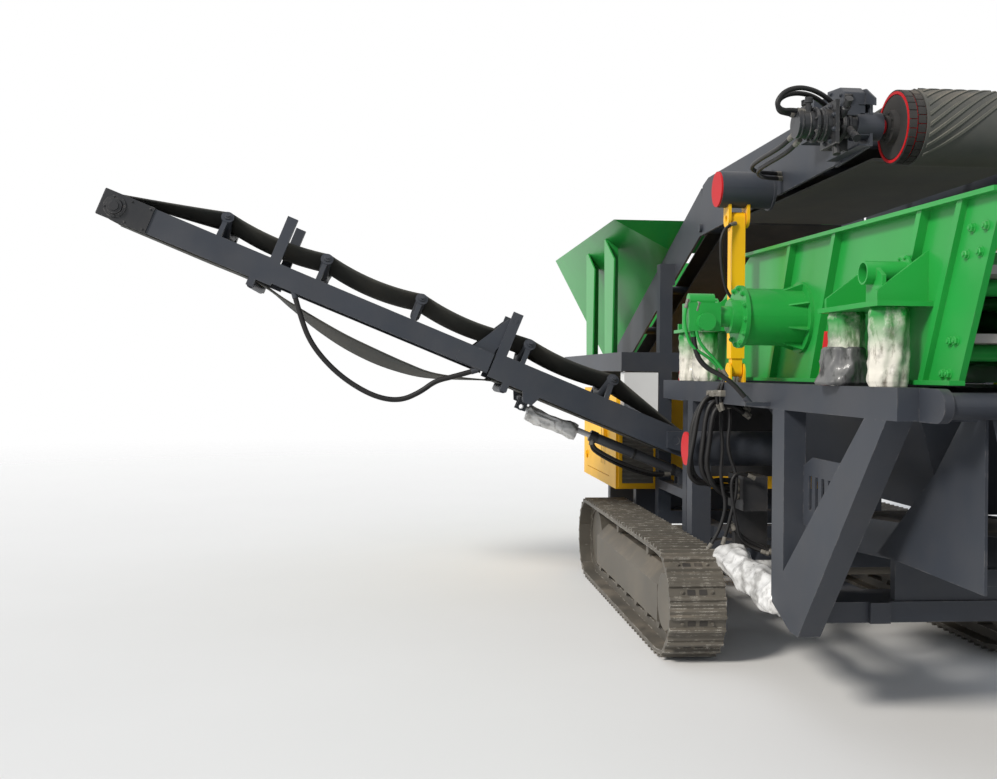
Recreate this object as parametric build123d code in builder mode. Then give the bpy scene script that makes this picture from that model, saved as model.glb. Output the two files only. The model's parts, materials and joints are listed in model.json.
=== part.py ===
from build123d import *
import os
from math import atan2, cos, degrees, pi, radians, sin, tan

# Mobile screening plant on crawler tracks, in millimetres.
# +X points from the feed hopper to the tail conveyor, -Y to the side with the control
# box, +Z up. The origin lies on the ground, midway along and across the machine.
# "left" is the -Y side, on the left of someone who looks towards the hopper.

os.makedirs("parts", exist_ok=True)

# Length and stance
hopper_reach = 4850.0       # track centre to the hopper's far rim
tail_reach = 8000.0         # track centre to the tip of the tail conveyor
track_x = (hopper_reach - tail_reach) / 2
sides = (("left", -1), ("right", 1))

# Fits
pin_gap = 0.4
seat_gap = 0.3
slide_gap = 0.8
clearance = 8.0

# Crawler tracks
shoe_pitch = 190.0
shoe_count = 43
wheel_base = 3087.5
track_outer_y = 1450.0
shoe_width = 400.0
link_width = 170.0
link_in = 45.0              # chain pin line to the chain's inner face
shoe_in = 28.0              # and to the shoe's inner face
valley_out = 40.0
shoe_out = 57.0
lug_height = 22.5
lug_width = 26.0
lug_offset = 48.0
shoe_gap = 14.0
pin_radius = (shoe_pitch * shoe_count - 2 * wheel_base) / (2 * pi)
wheel_z = pin_radius + shoe_out + lug_height
wheel_gap = 1.0
wheel_r = (pin_radius - link_in) * cos(shoe_pitch / pin_radius / 2) - wheel_gap
wheel_width = 150.0
track_y = track_outer_y - shoe_width / 2
side_frame_half = 130.0
side_frame_end = 300.0      # wheel centre to the end of the track frame's side
roller_r = 62.0
roller_count = 7
cover_r = 205.0
cover_stand = 10.0
wheel_arm_half = 90.0
roller_half = 110.0
carrier_x = 600.0           # track centre to each carrier roller
carrier_r = 45.0
carrier_half = 60.0
beam_x = 700.0              # track centre to each cross beam
beam_low = 440.0
beam_size = 180.0

# Chassis
base_low = 620.0
base_high = 740.0
base_rail_y = 560.0
base_rail_width = 120.0
base_far = track_x - 3090.0
base_near = track_x + 3250.0
rail_outer_y = 1040.0
rail_width = 150.0
rail_inner_y = rail_outer_y - rail_width
rail_low = 1830.0
rail_high = 1985.0
rail_far = track_x + 0.0
rail_near = track_x + 4450.0
post_size = 150.0
post_x = track_x + 800.0
leg_post_x = track_x + 2776.0
leg_post_width = 205.0
leg_vertex_x = track_x + 3160.0
leg_vertex_z = 545.0
leg_top_x = track_x + 4095.0
leg_width = 245.0
leg_beam = 132.0            # depth of the leg's members, inwards from the rail's face
lug_thick = 45.0
lug_r = 78.0
hinge_r = 35.0

# Gantries that carry the side conveyors and the main conveyor
gantry_y = 745.0
gantry_width = 120.0
gantry_depth = 130.0
gantry_far_x = track_x - 1010.0
gantry_near_x = track_x + 0.0
gantry_far_drop = 570.0      # the main conveyor's top corner down to the far gantry

# Screen
screen_y = 800.0
screen_wall = 14.0
screen_low = 2020.0
screen_high = 2815.0
screen_far = track_x + 250.0
screen_near = track_x + 4580.0
screen_lean = 24.0
flange_width = 60.0
flange_thick = 22.0
rib_width = 50.0
rib_depth = 46.0
deck_thick = 40.0
screen_rise = 1.2           # slope of the side plates' top edge, towards the far end
screen_cut = 1330.0         # how far the far end's top corner lies behind the bottom one
doubler_width = 310.0
doubler_thick = 16.0
exciter_x = track_x + 2600.0
exciter_z = screen_low + 380.0
exciter_r = 178.0
exciter_reach = 410.0
exciter_flange = 18.0
motor_reach = 330.0
motor_r = 105.0
motor_hose = 32.0
motor_hose_route = ((exciter_x + 40, -screen_y - 700, exciter_z - 130),
                    (exciter_x + 45, -screen_y - 690, exciter_z - 235),
                    (exciter_x + 55, -screen_y - 625, exciter_z - 322),
                    (exciter_x + 72, -screen_y - 525, exciter_z - 370),
                    (exciter_x + 88, -rail_outer_y - 210, rail_high - 13),
                    (exciter_x + 95, -rail_outer_y - 150, rail_high - 85))
spring_r = 100.0
spring_high = screen_low + 350.0

# Main conveyor
main_y = 720.0
main_wall = 20.0
main_belt_half = 500.0
main_slope = 19.5
main_top_x = track_x + 0.0  # top corner of the lower section
main_top_z = 3650.0
main_height = 370.0
main_carry = 90.0           # top edge down to the belt's carrying face
main_return = 330.0         # and to its returning face
belt_thick = 14.0
head_hinge_x = track_x + 105.0
head_hinge_z = main_top_z - 360.0
head_low = head_hinge_z
head_top = main_top_z + 10.0
head_drum_x = track_x + 3400.0
head_drum_z = head_low + 135.0
head_drum_r = 196.0
head_drum_half = 585.0
tail_drum_x = track_x - 4420.0
pivot_tube_x = track_x + 1850.0
pivot_tube_z = head_low + 34.0
pivot_tube_r = 126.0
pivot_tube_y = 1130.0
cap_thick = 12.0
cap_inset = 4.0
strut_y = 985.0
strut_eye_z = pivot_tube_z - 204.0
strut_foot_z = rail_high + 75.0
strut_size = 95.0
strut_wall = 10.0

# Lower cross tube
cross_tube_x = track_x + 1340.0
cross_tube_z = 1487.0
cross_tube_r = 128.0
cross_tube_y = 1200.0

# Feed hopper
hopper_y = 1300.0
rim_z = main_top_z - 150.0
rim_near = track_x - 950.0
rim_far = track_x - hopper_reach
hopper_wall = 12.0
throat_near = track_x - 1250.0
throat_far = track_x - 4450.0
throat_y = 640.0
hopper_beam_low = 2060.0
hopper_beam_high = 2240.0

# Side conveyors
side_x = track_x - 450.0
side_half = 400.0
side_drum_y = 930.0
side_drum_z = 1460.0
side_tip_y = 5680.0
side_tip_z = 3390.0
side_channel = 220.0
side_flange = 45.0
side_belt_half = 310.0
side_fold_s = 1675.0        # the fold's pin along the conveyor from its lower drum
side_fold_h = 420.0         # and above the drums' line
side_drum_r = 105.0
hose_end_wide = 0.6         # a hose fitting's radius over the hose's diameter
hose_end_long = 60.0
tip_hose = 45.0
tip_hose_in = 28.0          # the conveyor's edge in to the hose's centre line
tip_hose_route = ((3475, -125), (3370, -262), (3215, -425), (2990, -548), (2760, -617),
                  (2520, -640), (2325, -590), (2195, -455), (2115, -318), (1985, -225),
                  (1862, -127))

# Tail conveyor
tail_y = 640.0
tail_belt_half = 480.0
tail_slope = 27.0
tail_hinge_x = track_x + 4610.0
tail_hinge_z = 1905.0
tail_drum_r = 150.0

# Engine cabinet
cabinet_y = 1240.0
cabinet_far = track_x - 2850.0
cabinet_near = track_x - 1060.0
cabinet_low = 930.0
cabinet_high = 1880.0
cabinet_wall = 40.0


def span(side, near, far):
    """Two distances from the centreline as a (low, high) pair on one side."""
    return tuple(sorted((side * near, side * far)))


def block(x, y, z, mode=Mode.ADD):
    """A block between a (low, high) pair along each axis."""
    with Locations(((x[0] + x[1]) / 2, (y[0] + y[1]) / 2, (z[0] + z[1]) / 2)):
        Box(x[1] - x[0], y[1] - y[0], z[1] - z[0], mode=mode)


def slab_y(outline, y, mode=Mode.ADD):
    """A plate with its outline in X and Z, between two places along Y."""
    with BuildSketch(Plane.XZ.offset(-y[1])) as face:
        with BuildLine():
            Polyline(*outline, close=True)
        make_face()
    extrude(face.sketch, amount=y[1] - y[0], mode=mode)


def slab_x(outline, x, mode=Mode.ADD):
    """A plate with its outline in Y and Z, between two places along X."""
    with BuildSketch(Plane.YZ.offset(x[0])) as face:
        with BuildLine():
            Polyline(*outline, close=True)
        make_face()
    extrude(face.sketch, amount=x[1] - x[0], mode=mode)


def rod_y(x, z, radius, y, mode=Mode.ADD):
    """A round bar along Y."""
    with BuildSketch(Plane.XZ.offset(-y[1])) as face:
        with Locations((x, z)):
            Circle(radius)
    extrude(face.sketch, amount=y[1] - y[0], mode=mode)


def rod_x(y, z, radius, x, mode=Mode.ADD):
    """A round bar along X."""
    with BuildSketch(Plane.YZ.offset(x[0])) as face:
        with Locations((y, z)):
            Circle(radius)
    extrude(face.sketch, amount=x[1] - x[0], mode=mode)


def rod_z(x, y, radius, z, mode=Mode.ADD):
    """A round bar along Z."""
    with BuildSketch(Plane.XY.offset(z[0])) as face:
        with Locations((x, y)):
            Circle(radius)
    extrude(face.sketch, amount=z[1] - z[0], mode=mode)


def bar(start, end, radius, mode=Mode.ADD):
    """A round bar between two points."""
    run = Vector(*end) - Vector(*start)
    with BuildSketch(Plane(origin=start, z_dir=run)) as face:
        Circle(radius)
    extrude(face.sketch, amount=run.length, mode=mode)


def sloped(foot, angle, sign=1):
    """Turns (along, above) on a slope into a horizontal place and a height."""
    run, rise = cos(radians(angle)), sin(radians(angle))

    def place(along, above):
        return (foot[0] + sign * (along * run - above * rise),
                foot[1] + along * rise + above * run)
    return place


def finish(piece, name):
    """Labels a finished piece and writes it."""
    piece.part.label = name
    export_step(piece.part, f"parts/{name}.step")


# Crawler tracks: one closed loop of shoes and links a side

def hose(points, diameter, name):
    """A free hose: straight runs joined by arcs as large as the runs beside them allow."""
    runs = [Vector(*end) - Vector(*start) for start, end in zip(points, points[1:])]
    radii = [0.45 * min(one.length, two.length) / tan(radians(one.get_angle(two)) / 2)
             for one, two in zip(runs, runs[1:])]
    with BuildPart() as tube:
        with BuildLine():
            route = FilletPolyline(*points, radius=radii)
        with BuildSketch(Plane(origin=route @ 0, z_dir=route % 0)):
            Circle(diameter / 2)
        sweep()
    whole = pi * diameter ** 2 / 4 * route.length
    print(name, "radii", [round(radius) for radius in radii], "length", round(route.length),
          "volume over section times length", round(tube.part.volume / whole, 5))
    finish(tube, name)


def hose_end(first, second, radius, length):
    """The fitting that a hose leaves, in line with the hose's first run."""
    back = (Vector(*first) - Vector(*second)).normalized()
    bar(tuple(Vector(*first) + back * length), first, radius)


def chain_pin(index):
    """The place of a chain pin and the direction out of the loop there."""
    along = index * shoe_pitch % (shoe_pitch * shoe_count)
    arc = pi * pin_radius
    half = wheel_base / 2
    if along < wheel_base:
        return track_x - half + along, wheel_z - pin_radius, -pi / 2
    along -= wheel_base
    if along < arc:
        angle = along / pin_radius - pi / 2
        return track_x + half + pin_radius * cos(angle), wheel_z + pin_radius * sin(angle), angle
    along -= arc
    if along < wheel_base:
        return track_x + half - along, wheel_z + pin_radius, pi / 2
    angle = (along - wheel_base) / pin_radius + pi / 2
    return track_x - half + pin_radius * cos(angle), wheel_z + pin_radius * sin(angle), angle


def loop_at(out):
    """The polygon through the chain's pins, moved out of the loop."""
    pins = [chain_pin(index) for index in range(shoe_count)]
    return [(x + out * cos(angle), z + out * sin(angle)) for x, z, angle in pins]


def shoe_outline():
    """The outer edge of the loop: a valley at each pin, then a shoe with two lugs."""
    half = (shoe_pitch - shoe_gap) / 2
    root = lug_width / 2 + 4
    top = lug_width / 2 - 4
    profile = [(-half, shoe_out)]           # (along the shoe, out of the pin line)
    for centre in (-lug_offset, lug_offset):
        profile += [(centre - root, shoe_out), (centre - top, shoe_out + lug_height),
                    (centre + top, shoe_out + lug_height), (centre + root, shoe_out)]
    profile.append((half, shoe_out))
    points = []
    for index in range(shoe_count):
        x0, z0, angle = chain_pin(index)
        x1, z1, _ = chain_pin(index + 1)
        points.append((x0 + valley_out * cos(angle), z0 + valley_out * sin(angle)))
        along = atan2(z1 - z0, x1 - x0)
        for step, out in profile:
            points.append(((x0 + x1) / 2 + step * cos(along) + out * sin(along),
                           (z0 + z1) / 2 + step * sin(along) - out * cos(along)))
    return points


for name, side in sides:
    with BuildPart() as track:
        outer = span(side, track_y - shoe_width / 2, track_y + shoe_width / 2)
        slab_y(shoe_outline(), outer)
        slab_y(loop_at(shoe_in), outer, mode=Mode.SUBTRACT)
        links = span(side, track_y - link_width / 2, track_y + link_width / 2)
        with BuildSketch(Plane.XZ.offset(-links[1])) as chain:
            with BuildLine():
                Polyline(*loop_at(shoe_in + 3), close=True)
            make_face()
            with BuildLine():
                Polyline(*loop_at(-link_in), close=True)
            make_face(mode=Mode.SUBTRACT)
        extrude(chain.sketch, amount=link_width)
    finish(track, f"track_{name}")

# Track frames with their wheels and rollers, which the loop surrounds
chain_floor = wheel_z - pin_radius + link_in
chain_roof = wheel_z + pin_radius - link_in
frame_low = chain_floor + roller_r
frame_high = chain_roof - 100.0
frame_slope = 110.0
frame_half_length = wheel_base / 2 - side_frame_end
side_frame_inner = track_y - side_frame_half
side_frame_outer = track_y + side_frame_half
with BuildPart() as track_frames:
    for name, side in sides:
        slab_x([(side * side_frame_inner, frame_low), (side * side_frame_outer, frame_low),
                (side * side_frame_outer, frame_high - frame_slope),
                (side * (side_frame_outer - frame_slope), frame_high),
                (side * side_frame_inner, frame_high)],
               (track_x - frame_half_length, track_x + frame_half_length))
        for centre in (track_x - wheel_base / 2, track_x + wheel_base / 2):
            rod_y(centre, wheel_z, wheel_r, span(side, track_y - wheel_width / 2,
                                                 track_y + wheel_width / 2))
            rod_y(centre, wheel_z, cover_r, span(side, side_frame_inner - cover_stand, track_y))
        rod_y(track_x + wheel_base / 2, wheel_z, cover_r,
              span(side, track_y, side_frame_outer + 2 * cover_stand))
        block((track_x - wheel_base / 2, track_x + wheel_base / 2),
              span(side, side_frame_inner, track_y - wheel_width / 2 - clearance),
              (wheel_z - wheel_arm_half, wheel_z + wheel_arm_half))
        spread = 2 * (frame_half_length - roller_r) / (roller_count - 1)
        for index in range(roller_count):
            x = track_x - frame_half_length + roller_r + index * spread
            rod_y(x, chain_floor + roller_r + seat_gap, roller_r,
                  span(side, track_y - roller_half, track_y + roller_half))
        for x in (track_x - carrier_x, track_x + carrier_x):
            carrier_z = chain_roof - carrier_r - seat_gap
            rod_y(x, carrier_z, carrier_r, span(side, track_y - carrier_half, track_y + carrier_half))
            block((x - carrier_r, x + carrier_r),
                  span(side, track_y - roller_half, track_y - carrier_half),
                  (frame_high, carrier_z))
finish(track_frames, "track_frames")

with BuildPart() as undercarriage:
    for x in (track_x - beam_x, track_x + beam_x):
        block((x - beam_size / 2, x + beam_size / 2), (-side_frame_inner, side_frame_inner),
              (beam_low, beam_low + beam_size))
    block((track_x - beam_x, track_x + beam_x), (-base_rail_y / 2, base_rail_y / 2),
          (beam_low + 20, beam_low + beam_size))
finish(undercarriage, "undercarriage")

# Base frame: two rails, cross beams under the posts and bearers under the cabinet
with BuildPart() as base:
    for name, side in sides:
        block((base_far, base_near), span(side, base_rail_y - base_rail_width / 2,
                                          base_rail_y + base_rail_width / 2),
              (base_low, base_high))
    crossings = [                          # low x, high x, half width, top
        (post_x, post_x + post_size, rail_outer_y, base_high),
        (leg_post_x + 80, leg_vertex_x + 60, rail_outer_y - leg_beam, base_high),
        (gantry_near_x, gantry_near_x + gantry_depth, gantry_y + gantry_width, base_high),
        (gantry_far_x, gantry_far_x + gantry_depth, gantry_y + gantry_width, base_high),
        (base_far, base_far + gantry_depth, gantry_y + gantry_width, base_high),
        (cabinet_near - 300, cabinet_near - 180, 1000.0, cabinet_low),
        (cabinet_far + 180, cabinet_far + 300, 1000.0, cabinet_low)]
    for low, high, half, top in crossings:
        block((low, high), (-half, half), (base_low, top))
finish(base, "base_frame")

# Top rails, each with a hinge lug on its near end, and the posts under them
with BuildPart() as rails:
    for name, side in sides:
        block((rail_far, rail_near), span(side, rail_inner_y, rail_outer_y),
              (rail_low, rail_high))
        lug = span(side, rail_inner_y, rail_inner_y + lug_thick)
        block((rail_near - 20, tail_hinge_x), lug, (tail_hinge_z - lug_r, tail_hinge_z + lug_r))
        rod_y(tail_hinge_x, tail_hinge_z, lug_r, lug)
        rod_y(tail_hinge_x, tail_hinge_z, hinge_r + pin_gap, lug, mode=Mode.SUBTRACT)
        block((post_x, post_x + post_size), span(side, rail_inner_y, rail_outer_y),
              (base_high, rail_low))
    x, y, z = motor_hose_route[-1]
    block((x - 40, x + 40), (y - 10, -rail_outer_y), (z - 55, z - 30))
    hose_end(motor_hose_route[-1], motor_hose_route[-2], motor_hose * hose_end_wide, hose_end_long)
finish(rails, "top_rails")

slot_count = 5
slot_pitch = 95.0
with BuildPart() as v_legs:
    for name, side in sides:
        members = span(side, rail_outer_y - leg_beam, rail_outer_y)
        outline = [(leg_post_x, rail_low), (leg_post_x, leg_vertex_z + 115),
                   (leg_vertex_x - 60, leg_vertex_z), (leg_vertex_x + 70, leg_vertex_z),
                   (leg_top_x + leg_width, rail_low)]
        slab_y(outline, members)
        window = [(leg_post_x + leg_post_width, rail_low + 1),
                  (leg_post_x + leg_post_width, leg_vertex_z + 330),
                  (leg_top_x, rail_low + 1)]
        slab_y(window, members, mode=Mode.SUBTRACT)
        panel = span(side, rail_outer_y - leg_beam, rail_outer_y - leg_beam + 12)
        panel_far = leg_post_x + leg_post_width - 10
        slab_y([(panel_far, 1150), (panel_far, 1500), (panel_far + 150, 1560),
                (panel_far + 930, 1560), (panel_far + 530, 1150)], panel)
        for index in range(slot_count):
            x = panel_far + 95 + index * slot_pitch
            block((x, x + 42), panel, (1250, 1450), mode=Mode.SUBTRACT)
finish(v_legs, "v_legs")

# Gantries: the near one under the rails' ends, the far one up to the main conveyor, and
# beams between them for the feet of the side conveyors' cylinders
beam_end_y = 1230.0
foot_y = 720.0
foot_z = 1120.0
foot_ear = 72.0
gantry_far_top = main_top_z - gantry_far_drop
side_slope = degrees(atan2(side_tip_z - side_drum_z, side_tip_y - side_drum_y))
ear_near = side_x + side_half + clearance
ear_far = side_x - side_half - clearance
with BuildPart() as gantries:
    for name, side in sides:
        posts = span(side, gantry_y, gantry_y + gantry_width)
        block((gantry_near_x, gantry_near_x + gantry_depth), posts, (base_high, rail_low + 20))
        ear = (ear_near, gantry_near_x)
        slab_x([(side * gantry_y, side_drum_z - 130), (side * gantry_y, side_drum_z + 80),
                (side * (side_drum_y + 70), side_drum_z + 80),
                (side * (side_drum_y + 70), side_drum_z - 60)], ear)
        rod_x(side * side_drum_y, side_drum_z, hinge_r + pin_gap, ear, mode=Mode.SUBTRACT)
    block((gantry_near_x, gantry_near_x + gantry_depth), (-rail_inner_y, rail_inner_y),
          (rail_low + 20, rail_high))
    for name, side in sides:
        posts = span(side, gantry_y, gantry_y + gantry_width)
        block((gantry_far_x, gantry_far_x + gantry_depth), posts, (base_high, gantry_far_top))
        ear = (gantry_far_x + gantry_depth, ear_far)
        slab_x([(side * gantry_y, side_drum_z - 130), (side * gantry_y, side_drum_z + 80),
                (side * (side_drum_y + 70), side_drum_z + 80),
                (side * (side_drum_y + 70), side_drum_z - 60)], ear)
        rod_x(side * side_drum_y, side_drum_z, hinge_r + pin_gap, ear, mode=Mode.SUBTRACT)
        block((gantry_far_x, gantry_far_x + gantry_depth), span(side, main_y, gantry_y),
              (gantry_far_top - 200, gantry_far_top))
    block((gantry_far_x, gantry_far_x + gantry_depth), (-beam_end_y, beam_end_y),
          (hopper_beam_low, hopper_beam_high))
    for name, side in sides:
        block((gantry_far_x + gantry_depth, gantry_near_x),
              span(side, gantry_y, gantry_y + gantry_width), (960, 1040))
        for x in (side_x - foot_ear, side_x + foot_ear - 20):
            slab_x([(side * (gantry_y + 60), 1040), (side * (foot_y - 45), 1040 + 20),
                    (side * (foot_y - 45), foot_z + 45), (side * (foot_y + 45), foot_z + 45),
                    (side * (gantry_y + 60), foot_z)], (x, x + 20))
            rod_x(side * foot_y, foot_z, 20 + pin_gap, (x, x + 20), mode=Mode.SUBTRACT)
finish(gantries, "gantries")

# Hopper frame: beams beside the hopper on posts and raking struts
with BuildPart() as hopper_frame:
    for name, side in sides:
        beam_y = span(side, beam_end_y - 150, beam_end_y)
        block((rim_far + 400, gantry_far_x), beam_y, (hopper_beam_low, hopper_beam_high))
        block((base_far, base_far + gantry_depth), span(side, gantry_y, gantry_y + gantry_width),
              (base_high, hopper_beam_low))
        block((rim_far + 650, rim_far + 750), span(side, main_y, beam_end_y),
              (hopper_beam_low, hopper_beam_low + 100))
        slab_y([(base_far, base_high), (base_far, base_high + 180),
                (rim_far + 700, hopper_beam_low), (rim_far + 560, hopper_beam_low)],
               span(side, gantry_y + 20, gantry_y + gantry_width - 20))
    block((base_far, base_far + gantry_depth), (-beam_end_y, beam_end_y),
          (hopper_beam_low - 110, hopper_beam_low))
finish(hopper_frame, "hopper_frame")

# Lower cross tube with its end caps, on brackets from the posts
with BuildPart() as cross_tube:
    rod_y(cross_tube_x, cross_tube_z, cross_tube_r,
          (-cross_tube_y + cap_thick, cross_tube_y - cap_thick))
    for name, side in sides:
        block((post_x + post_size, cross_tube_x), span(side, rail_inner_y + 40, rail_inner_y + 70),
              (cross_tube_z - 70, cross_tube_z + 70))
finish(cross_tube, "cross_tube")

with BuildPart() as cross_caps:
    for name, side in sides:
        rod_y(cross_tube_x, cross_tube_z, cross_tube_r - cap_inset,
              span(side, cross_tube_y - cap_thick, cross_tube_y))
finish(cross_caps, "cross_caps")

# Vibrating screen: two side plates, cross members, two decks and the exciter
lean = tan(radians(screen_lean))
screen_top_shift = (screen_high - screen_low) * lean
screen_crest = screen_near + screen_top_shift
deck_zs = (screen_high - 290, screen_low + 210)
rib_xs = (screen_far + 1850.0, screen_far + 2575.0, screen_far + 3618.0, screen_near - 330.0)
far_crest = screen_far + screen_cut
far_foot = deck_zs[1] + 120.0  # height of the far end's upright edge


def screen_top(x):
    """The height of the side plates' top edge at a place along the screen."""
    return screen_high + (screen_crest - x) * tan(radians(screen_rise))


def far_edge(x):
    """The height of the side plates' raking far edge at a place along the screen."""
    rise = (screen_top(far_crest) - far_foot) / screen_cut
    return far_foot + (x - screen_far) * rise


def screen_foot(x, z):
    """The place at a height on a line that leans like the ribs, from its foot."""
    return x + (z - screen_low) * lean, z


with BuildPart() as screen_walls:
    for name, side in sides:
        wall = span(side, screen_y - screen_wall, screen_y)
        slab_y([(screen_far, screen_low), (screen_near, screen_low), (screen_crest, screen_high),
                (far_crest, screen_top(far_crest)), (screen_far, far_foot)], wall)
        ledge = span(side, screen_y - screen_wall, screen_y + flange_width)
        slab_y([(far_crest, screen_top(far_crest)), (screen_crest, screen_high),
                (screen_crest, screen_high + flange_thick),
                (far_crest, screen_top(far_crest) + flange_thick)], ledge)
        block((screen_far, screen_near), ledge, (screen_low - flange_thick, screen_low))
        for x in rib_xs:
            top = screen_top(x + screen_top_shift) + flange_thick / 2
            slab_y([(x, screen_low), (x + rib_width, screen_low),
                    screen_foot(x + rib_width, top), screen_foot(x, top)],
                   span(side, screen_y, screen_y + rib_depth))
        slab_y([(screen_near - doubler_width, screen_low), (screen_near, screen_low),
                (screen_crest, screen_high),
                (screen_crest - doubler_width, screen_top(screen_crest - doubler_width))],
               span(side, screen_y, screen_y + doubler_thick))
finish(screen_walls, "screen_sides")

inner_y = screen_y - screen_wall
with BuildPart() as crossbars:
    for deck_z in deck_zs:
        for x in (screen_far + 900, screen_far + 1700, screen_far + 2900, screen_near - 300):
            shift = (deck_z - screen_low) * lean
            rod_y(x + shift, deck_z - deck_thick - 40, 40, (-inner_y, inner_y))
    slab_y([(screen_crest - 50, screen_high - 60), (screen_crest + 20, screen_high - 60),
            (screen_crest + 130, screen_high + 250), (screen_crest + 100, screen_high + 250)],
           (-inner_y, inner_y))
finish(crossbars, "screen_crossbars")

deck_set_in = (0.0, 560.0)     # the lower and the upper deck's far end behind the wall's foot
with BuildPart() as decks:
    for deck_z in deck_zs:
        shift = (deck_z - screen_low) * lean
        far = screen_far + deck_set_in[deck_z == deck_zs[0]]
        block((far + shift, screen_near + shift - 60), (-inner_y, inner_y),
              (deck_z - deck_thick, deck_z))
finish(decks, "screen_decks")

fin_count = 8
fin_reach = 150.0
fin_thick = 10.0
with BuildPart() as exciter:
    rod_y(exciter_x, exciter_z, 85, (-inner_y, inner_y))
    for name, side in sides:
        rod_y(exciter_x, exciter_z, exciter_r, span(side, screen_y, screen_y + exciter_reach))
        rod_y(exciter_x, exciter_z, exciter_r + 45, span(side, screen_y, screen_y + 22))
        rod_y(exciter_x, exciter_z, exciter_r + exciter_flange,
              span(side, screen_y + exciter_reach - 24, screen_y + exciter_reach))
        for index in range(fin_count):
            turn = radians(360.0 / fin_count * (index + 0.5))
            edge = Plane(origin=(exciter_x, side * screen_y, exciter_z), z_dir=(-sin(turn), 0, cos(turn)),
                         x_dir=(cos(turn), 0, sin(turn)))
            out = side * edge.y_dir.Y
            with BuildSketch(edge) as fin:
                with BuildLine():
                    Polyline((exciter_r - 4, 0), (exciter_r + 42, 0), (exciter_r + 42, out * 30),
                             (exciter_r - 4, out * fin_reach), close=True)
                make_face()
            extrude(fin.sketch, amount=fin_thick / 2, both=True)
    motor_face = screen_y + exciter_reach
    rod_y(exciter_x, exciter_z, motor_r, (-motor_face - 60, -motor_face))
    rod_y(exciter_x, exciter_z, motor_r * 0.62, (-motor_face - 130, -motor_face - 60))
    block((exciter_x - 85, exciter_x + 85), (-motor_face - motor_reach, -motor_face - 130),
          (exciter_z - 95, exciter_z + 80))
    rod_y(exciter_x - 20, exciter_z + 95, 48, (-motor_face - motor_reach + 20, -motor_face - 150))
    rod_x(-motor_face - 230, exciter_z - 40, 55, (exciter_x + 85, exciter_x + 135))
    hose_end(motor_hose_route[0], motor_hose_route[1], motor_hose * hose_end_wide, hose_end_long)
finish(exciter, "exciter")
hose(motor_hose_route, motor_hose, "hose_exciter")

# Springs on the rails and the brackets that rest on them
spring_y = (rail_inner_y + rail_outer_y) / 2
spring_groups = ((track_x + 600.0, track_x + 1010.0), (track_x + 3690.0, track_x + 4190.0))
with BuildPart() as springs:
    for name, side in sides:
        for x in spring_groups[0] + spring_groups[1]:
            rod_z(x, side * spring_y, spring_r, (rail_high, spring_high))
finish(springs, "screen_springs")
bracket_thick = 25.0
bracket_tube_r = 58.0
bracket_tube_lift = 170.0
with BuildPart() as brackets:
    for name, side in sides:
        for first, last in spring_groups:
            block((first - 120, last + 120), span(side, screen_y, spring_y + 110),
                  (spring_high, spring_high + bracket_thick))
            for x in (first - 60, last + 60):
                top = min(spring_high + 270, far_edge(x) - 20)
                slab_x([(side * screen_y, spring_high + bracket_thick),
                        (side * (spring_y + 90), spring_high + bracket_thick),
                        (side * (spring_y + 90), spring_high + bracket_thick + 50),
                        (side * screen_y, top)], (x - 12, x + 12))
            tube_x = last - 60
            tube_z = spring_high + bracket_tube_lift
            tube = span(side, screen_y, spring_y + 105)
            slab_y([(tube_x - 62, spring_high + bracket_thick), (last + 60, spring_high + bracket_thick),
                    (last + 60, tube_z - 20), (tube_x, tube_z + bracket_tube_r - 4),
                    (tube_x - 62, tube_z - 10)], span(side, spring_y + 40, spring_y + 60))
            rod_y(tube_x, tube_z, bracket_tube_r, tube)
            rod_y(tube_x, tube_z, bracket_tube_r - 9,
                  span(side, screen_y + rib_depth + 20, spring_y + 106), mode=Mode.SUBTRACT)
        for x in rib_xs:
            low, high = spring_high - 10, spring_high + 300
            slab_y([screen_foot(x - seat_gap, low), screen_foot(x + rib_width + seat_gap, low),
                    screen_foot(x + rib_width + seat_gap, high), screen_foot(x - seat_gap, high)],
                   span(side, screen_y - 1, screen_y + rib_depth + seat_gap), mode=Mode.SUBTRACT)
finish(brackets, "spring_brackets")

with BuildPart() as locks:
    for name, side in sides:
        for x in (track_x + 3240.0, track_x + 120.0):
            lock = span(side, rail_inner_y + 30, rail_inner_y + 50)
            slab_y([(x, rail_high), (x + 250, rail_high), (x + 140, rail_high + 300),
                    (x + 90, rail_high + 300)], lock)
            slab_y([(x + 85, rail_high + 70), (x + 175, rail_high + 70), (x + 135, rail_high + 200),
                    (x + 105, rail_high + 200)], lock, mode=Mode.SUBTRACT)
finish(locks, "lock_brackets")

# Fines hopper under the screen
fines_far = track_x + 1560.0
fines_near = track_x + 4040.0
fines_top = 1960.0
fines_bottom = 1300.0
fines_wall = 10.0
fines_foot_y = 420.0
fines_rim_y = 760.0


def fines_side(z):
    """A place just inside the outer face of the hopper's side at a height."""
    rise = (z - fines_bottom) / (fines_top - fines_bottom)
    return fines_foot_y + (fines_rim_y - fines_foot_y) * rise - fines_wall / 2


with BuildPart() as fines:
    middle = ((fines_far + fines_near) / 2, 0)
    length = fines_near - fines_far
    low, high = fines_top - 80, fines_top - 20
    for inset, mode in ((0, Mode.ADD), (fines_wall, Mode.SUBTRACT)):
        with BuildSketch(Plane.XY.offset(fines_bottom - inset / 10)) as foot:
            with Locations(middle):
                Rectangle(length - 700 - 2 * inset, 2 * (fines_foot_y - inset))
        with BuildSketch(Plane.XY.offset(fines_top + inset / 10)) as rim:
            with Locations(middle):
                Rectangle(length - 2 * inset, 2 * (fines_rim_y - inset))
        loft([foot.sketch.face(), rim.sketch.face()], ruled=True, mode=mode)
    for name, side in sides:
        for x in (fines_far + 100, fines_near - 220):
            slab_x([(side * fines_side(low), low), (side * rail_inner_y, low),
                    (side * rail_inner_y, high), (side * fines_side(high), high)], (x, x + 80))
finish(fines, "fines_hopper")

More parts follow.
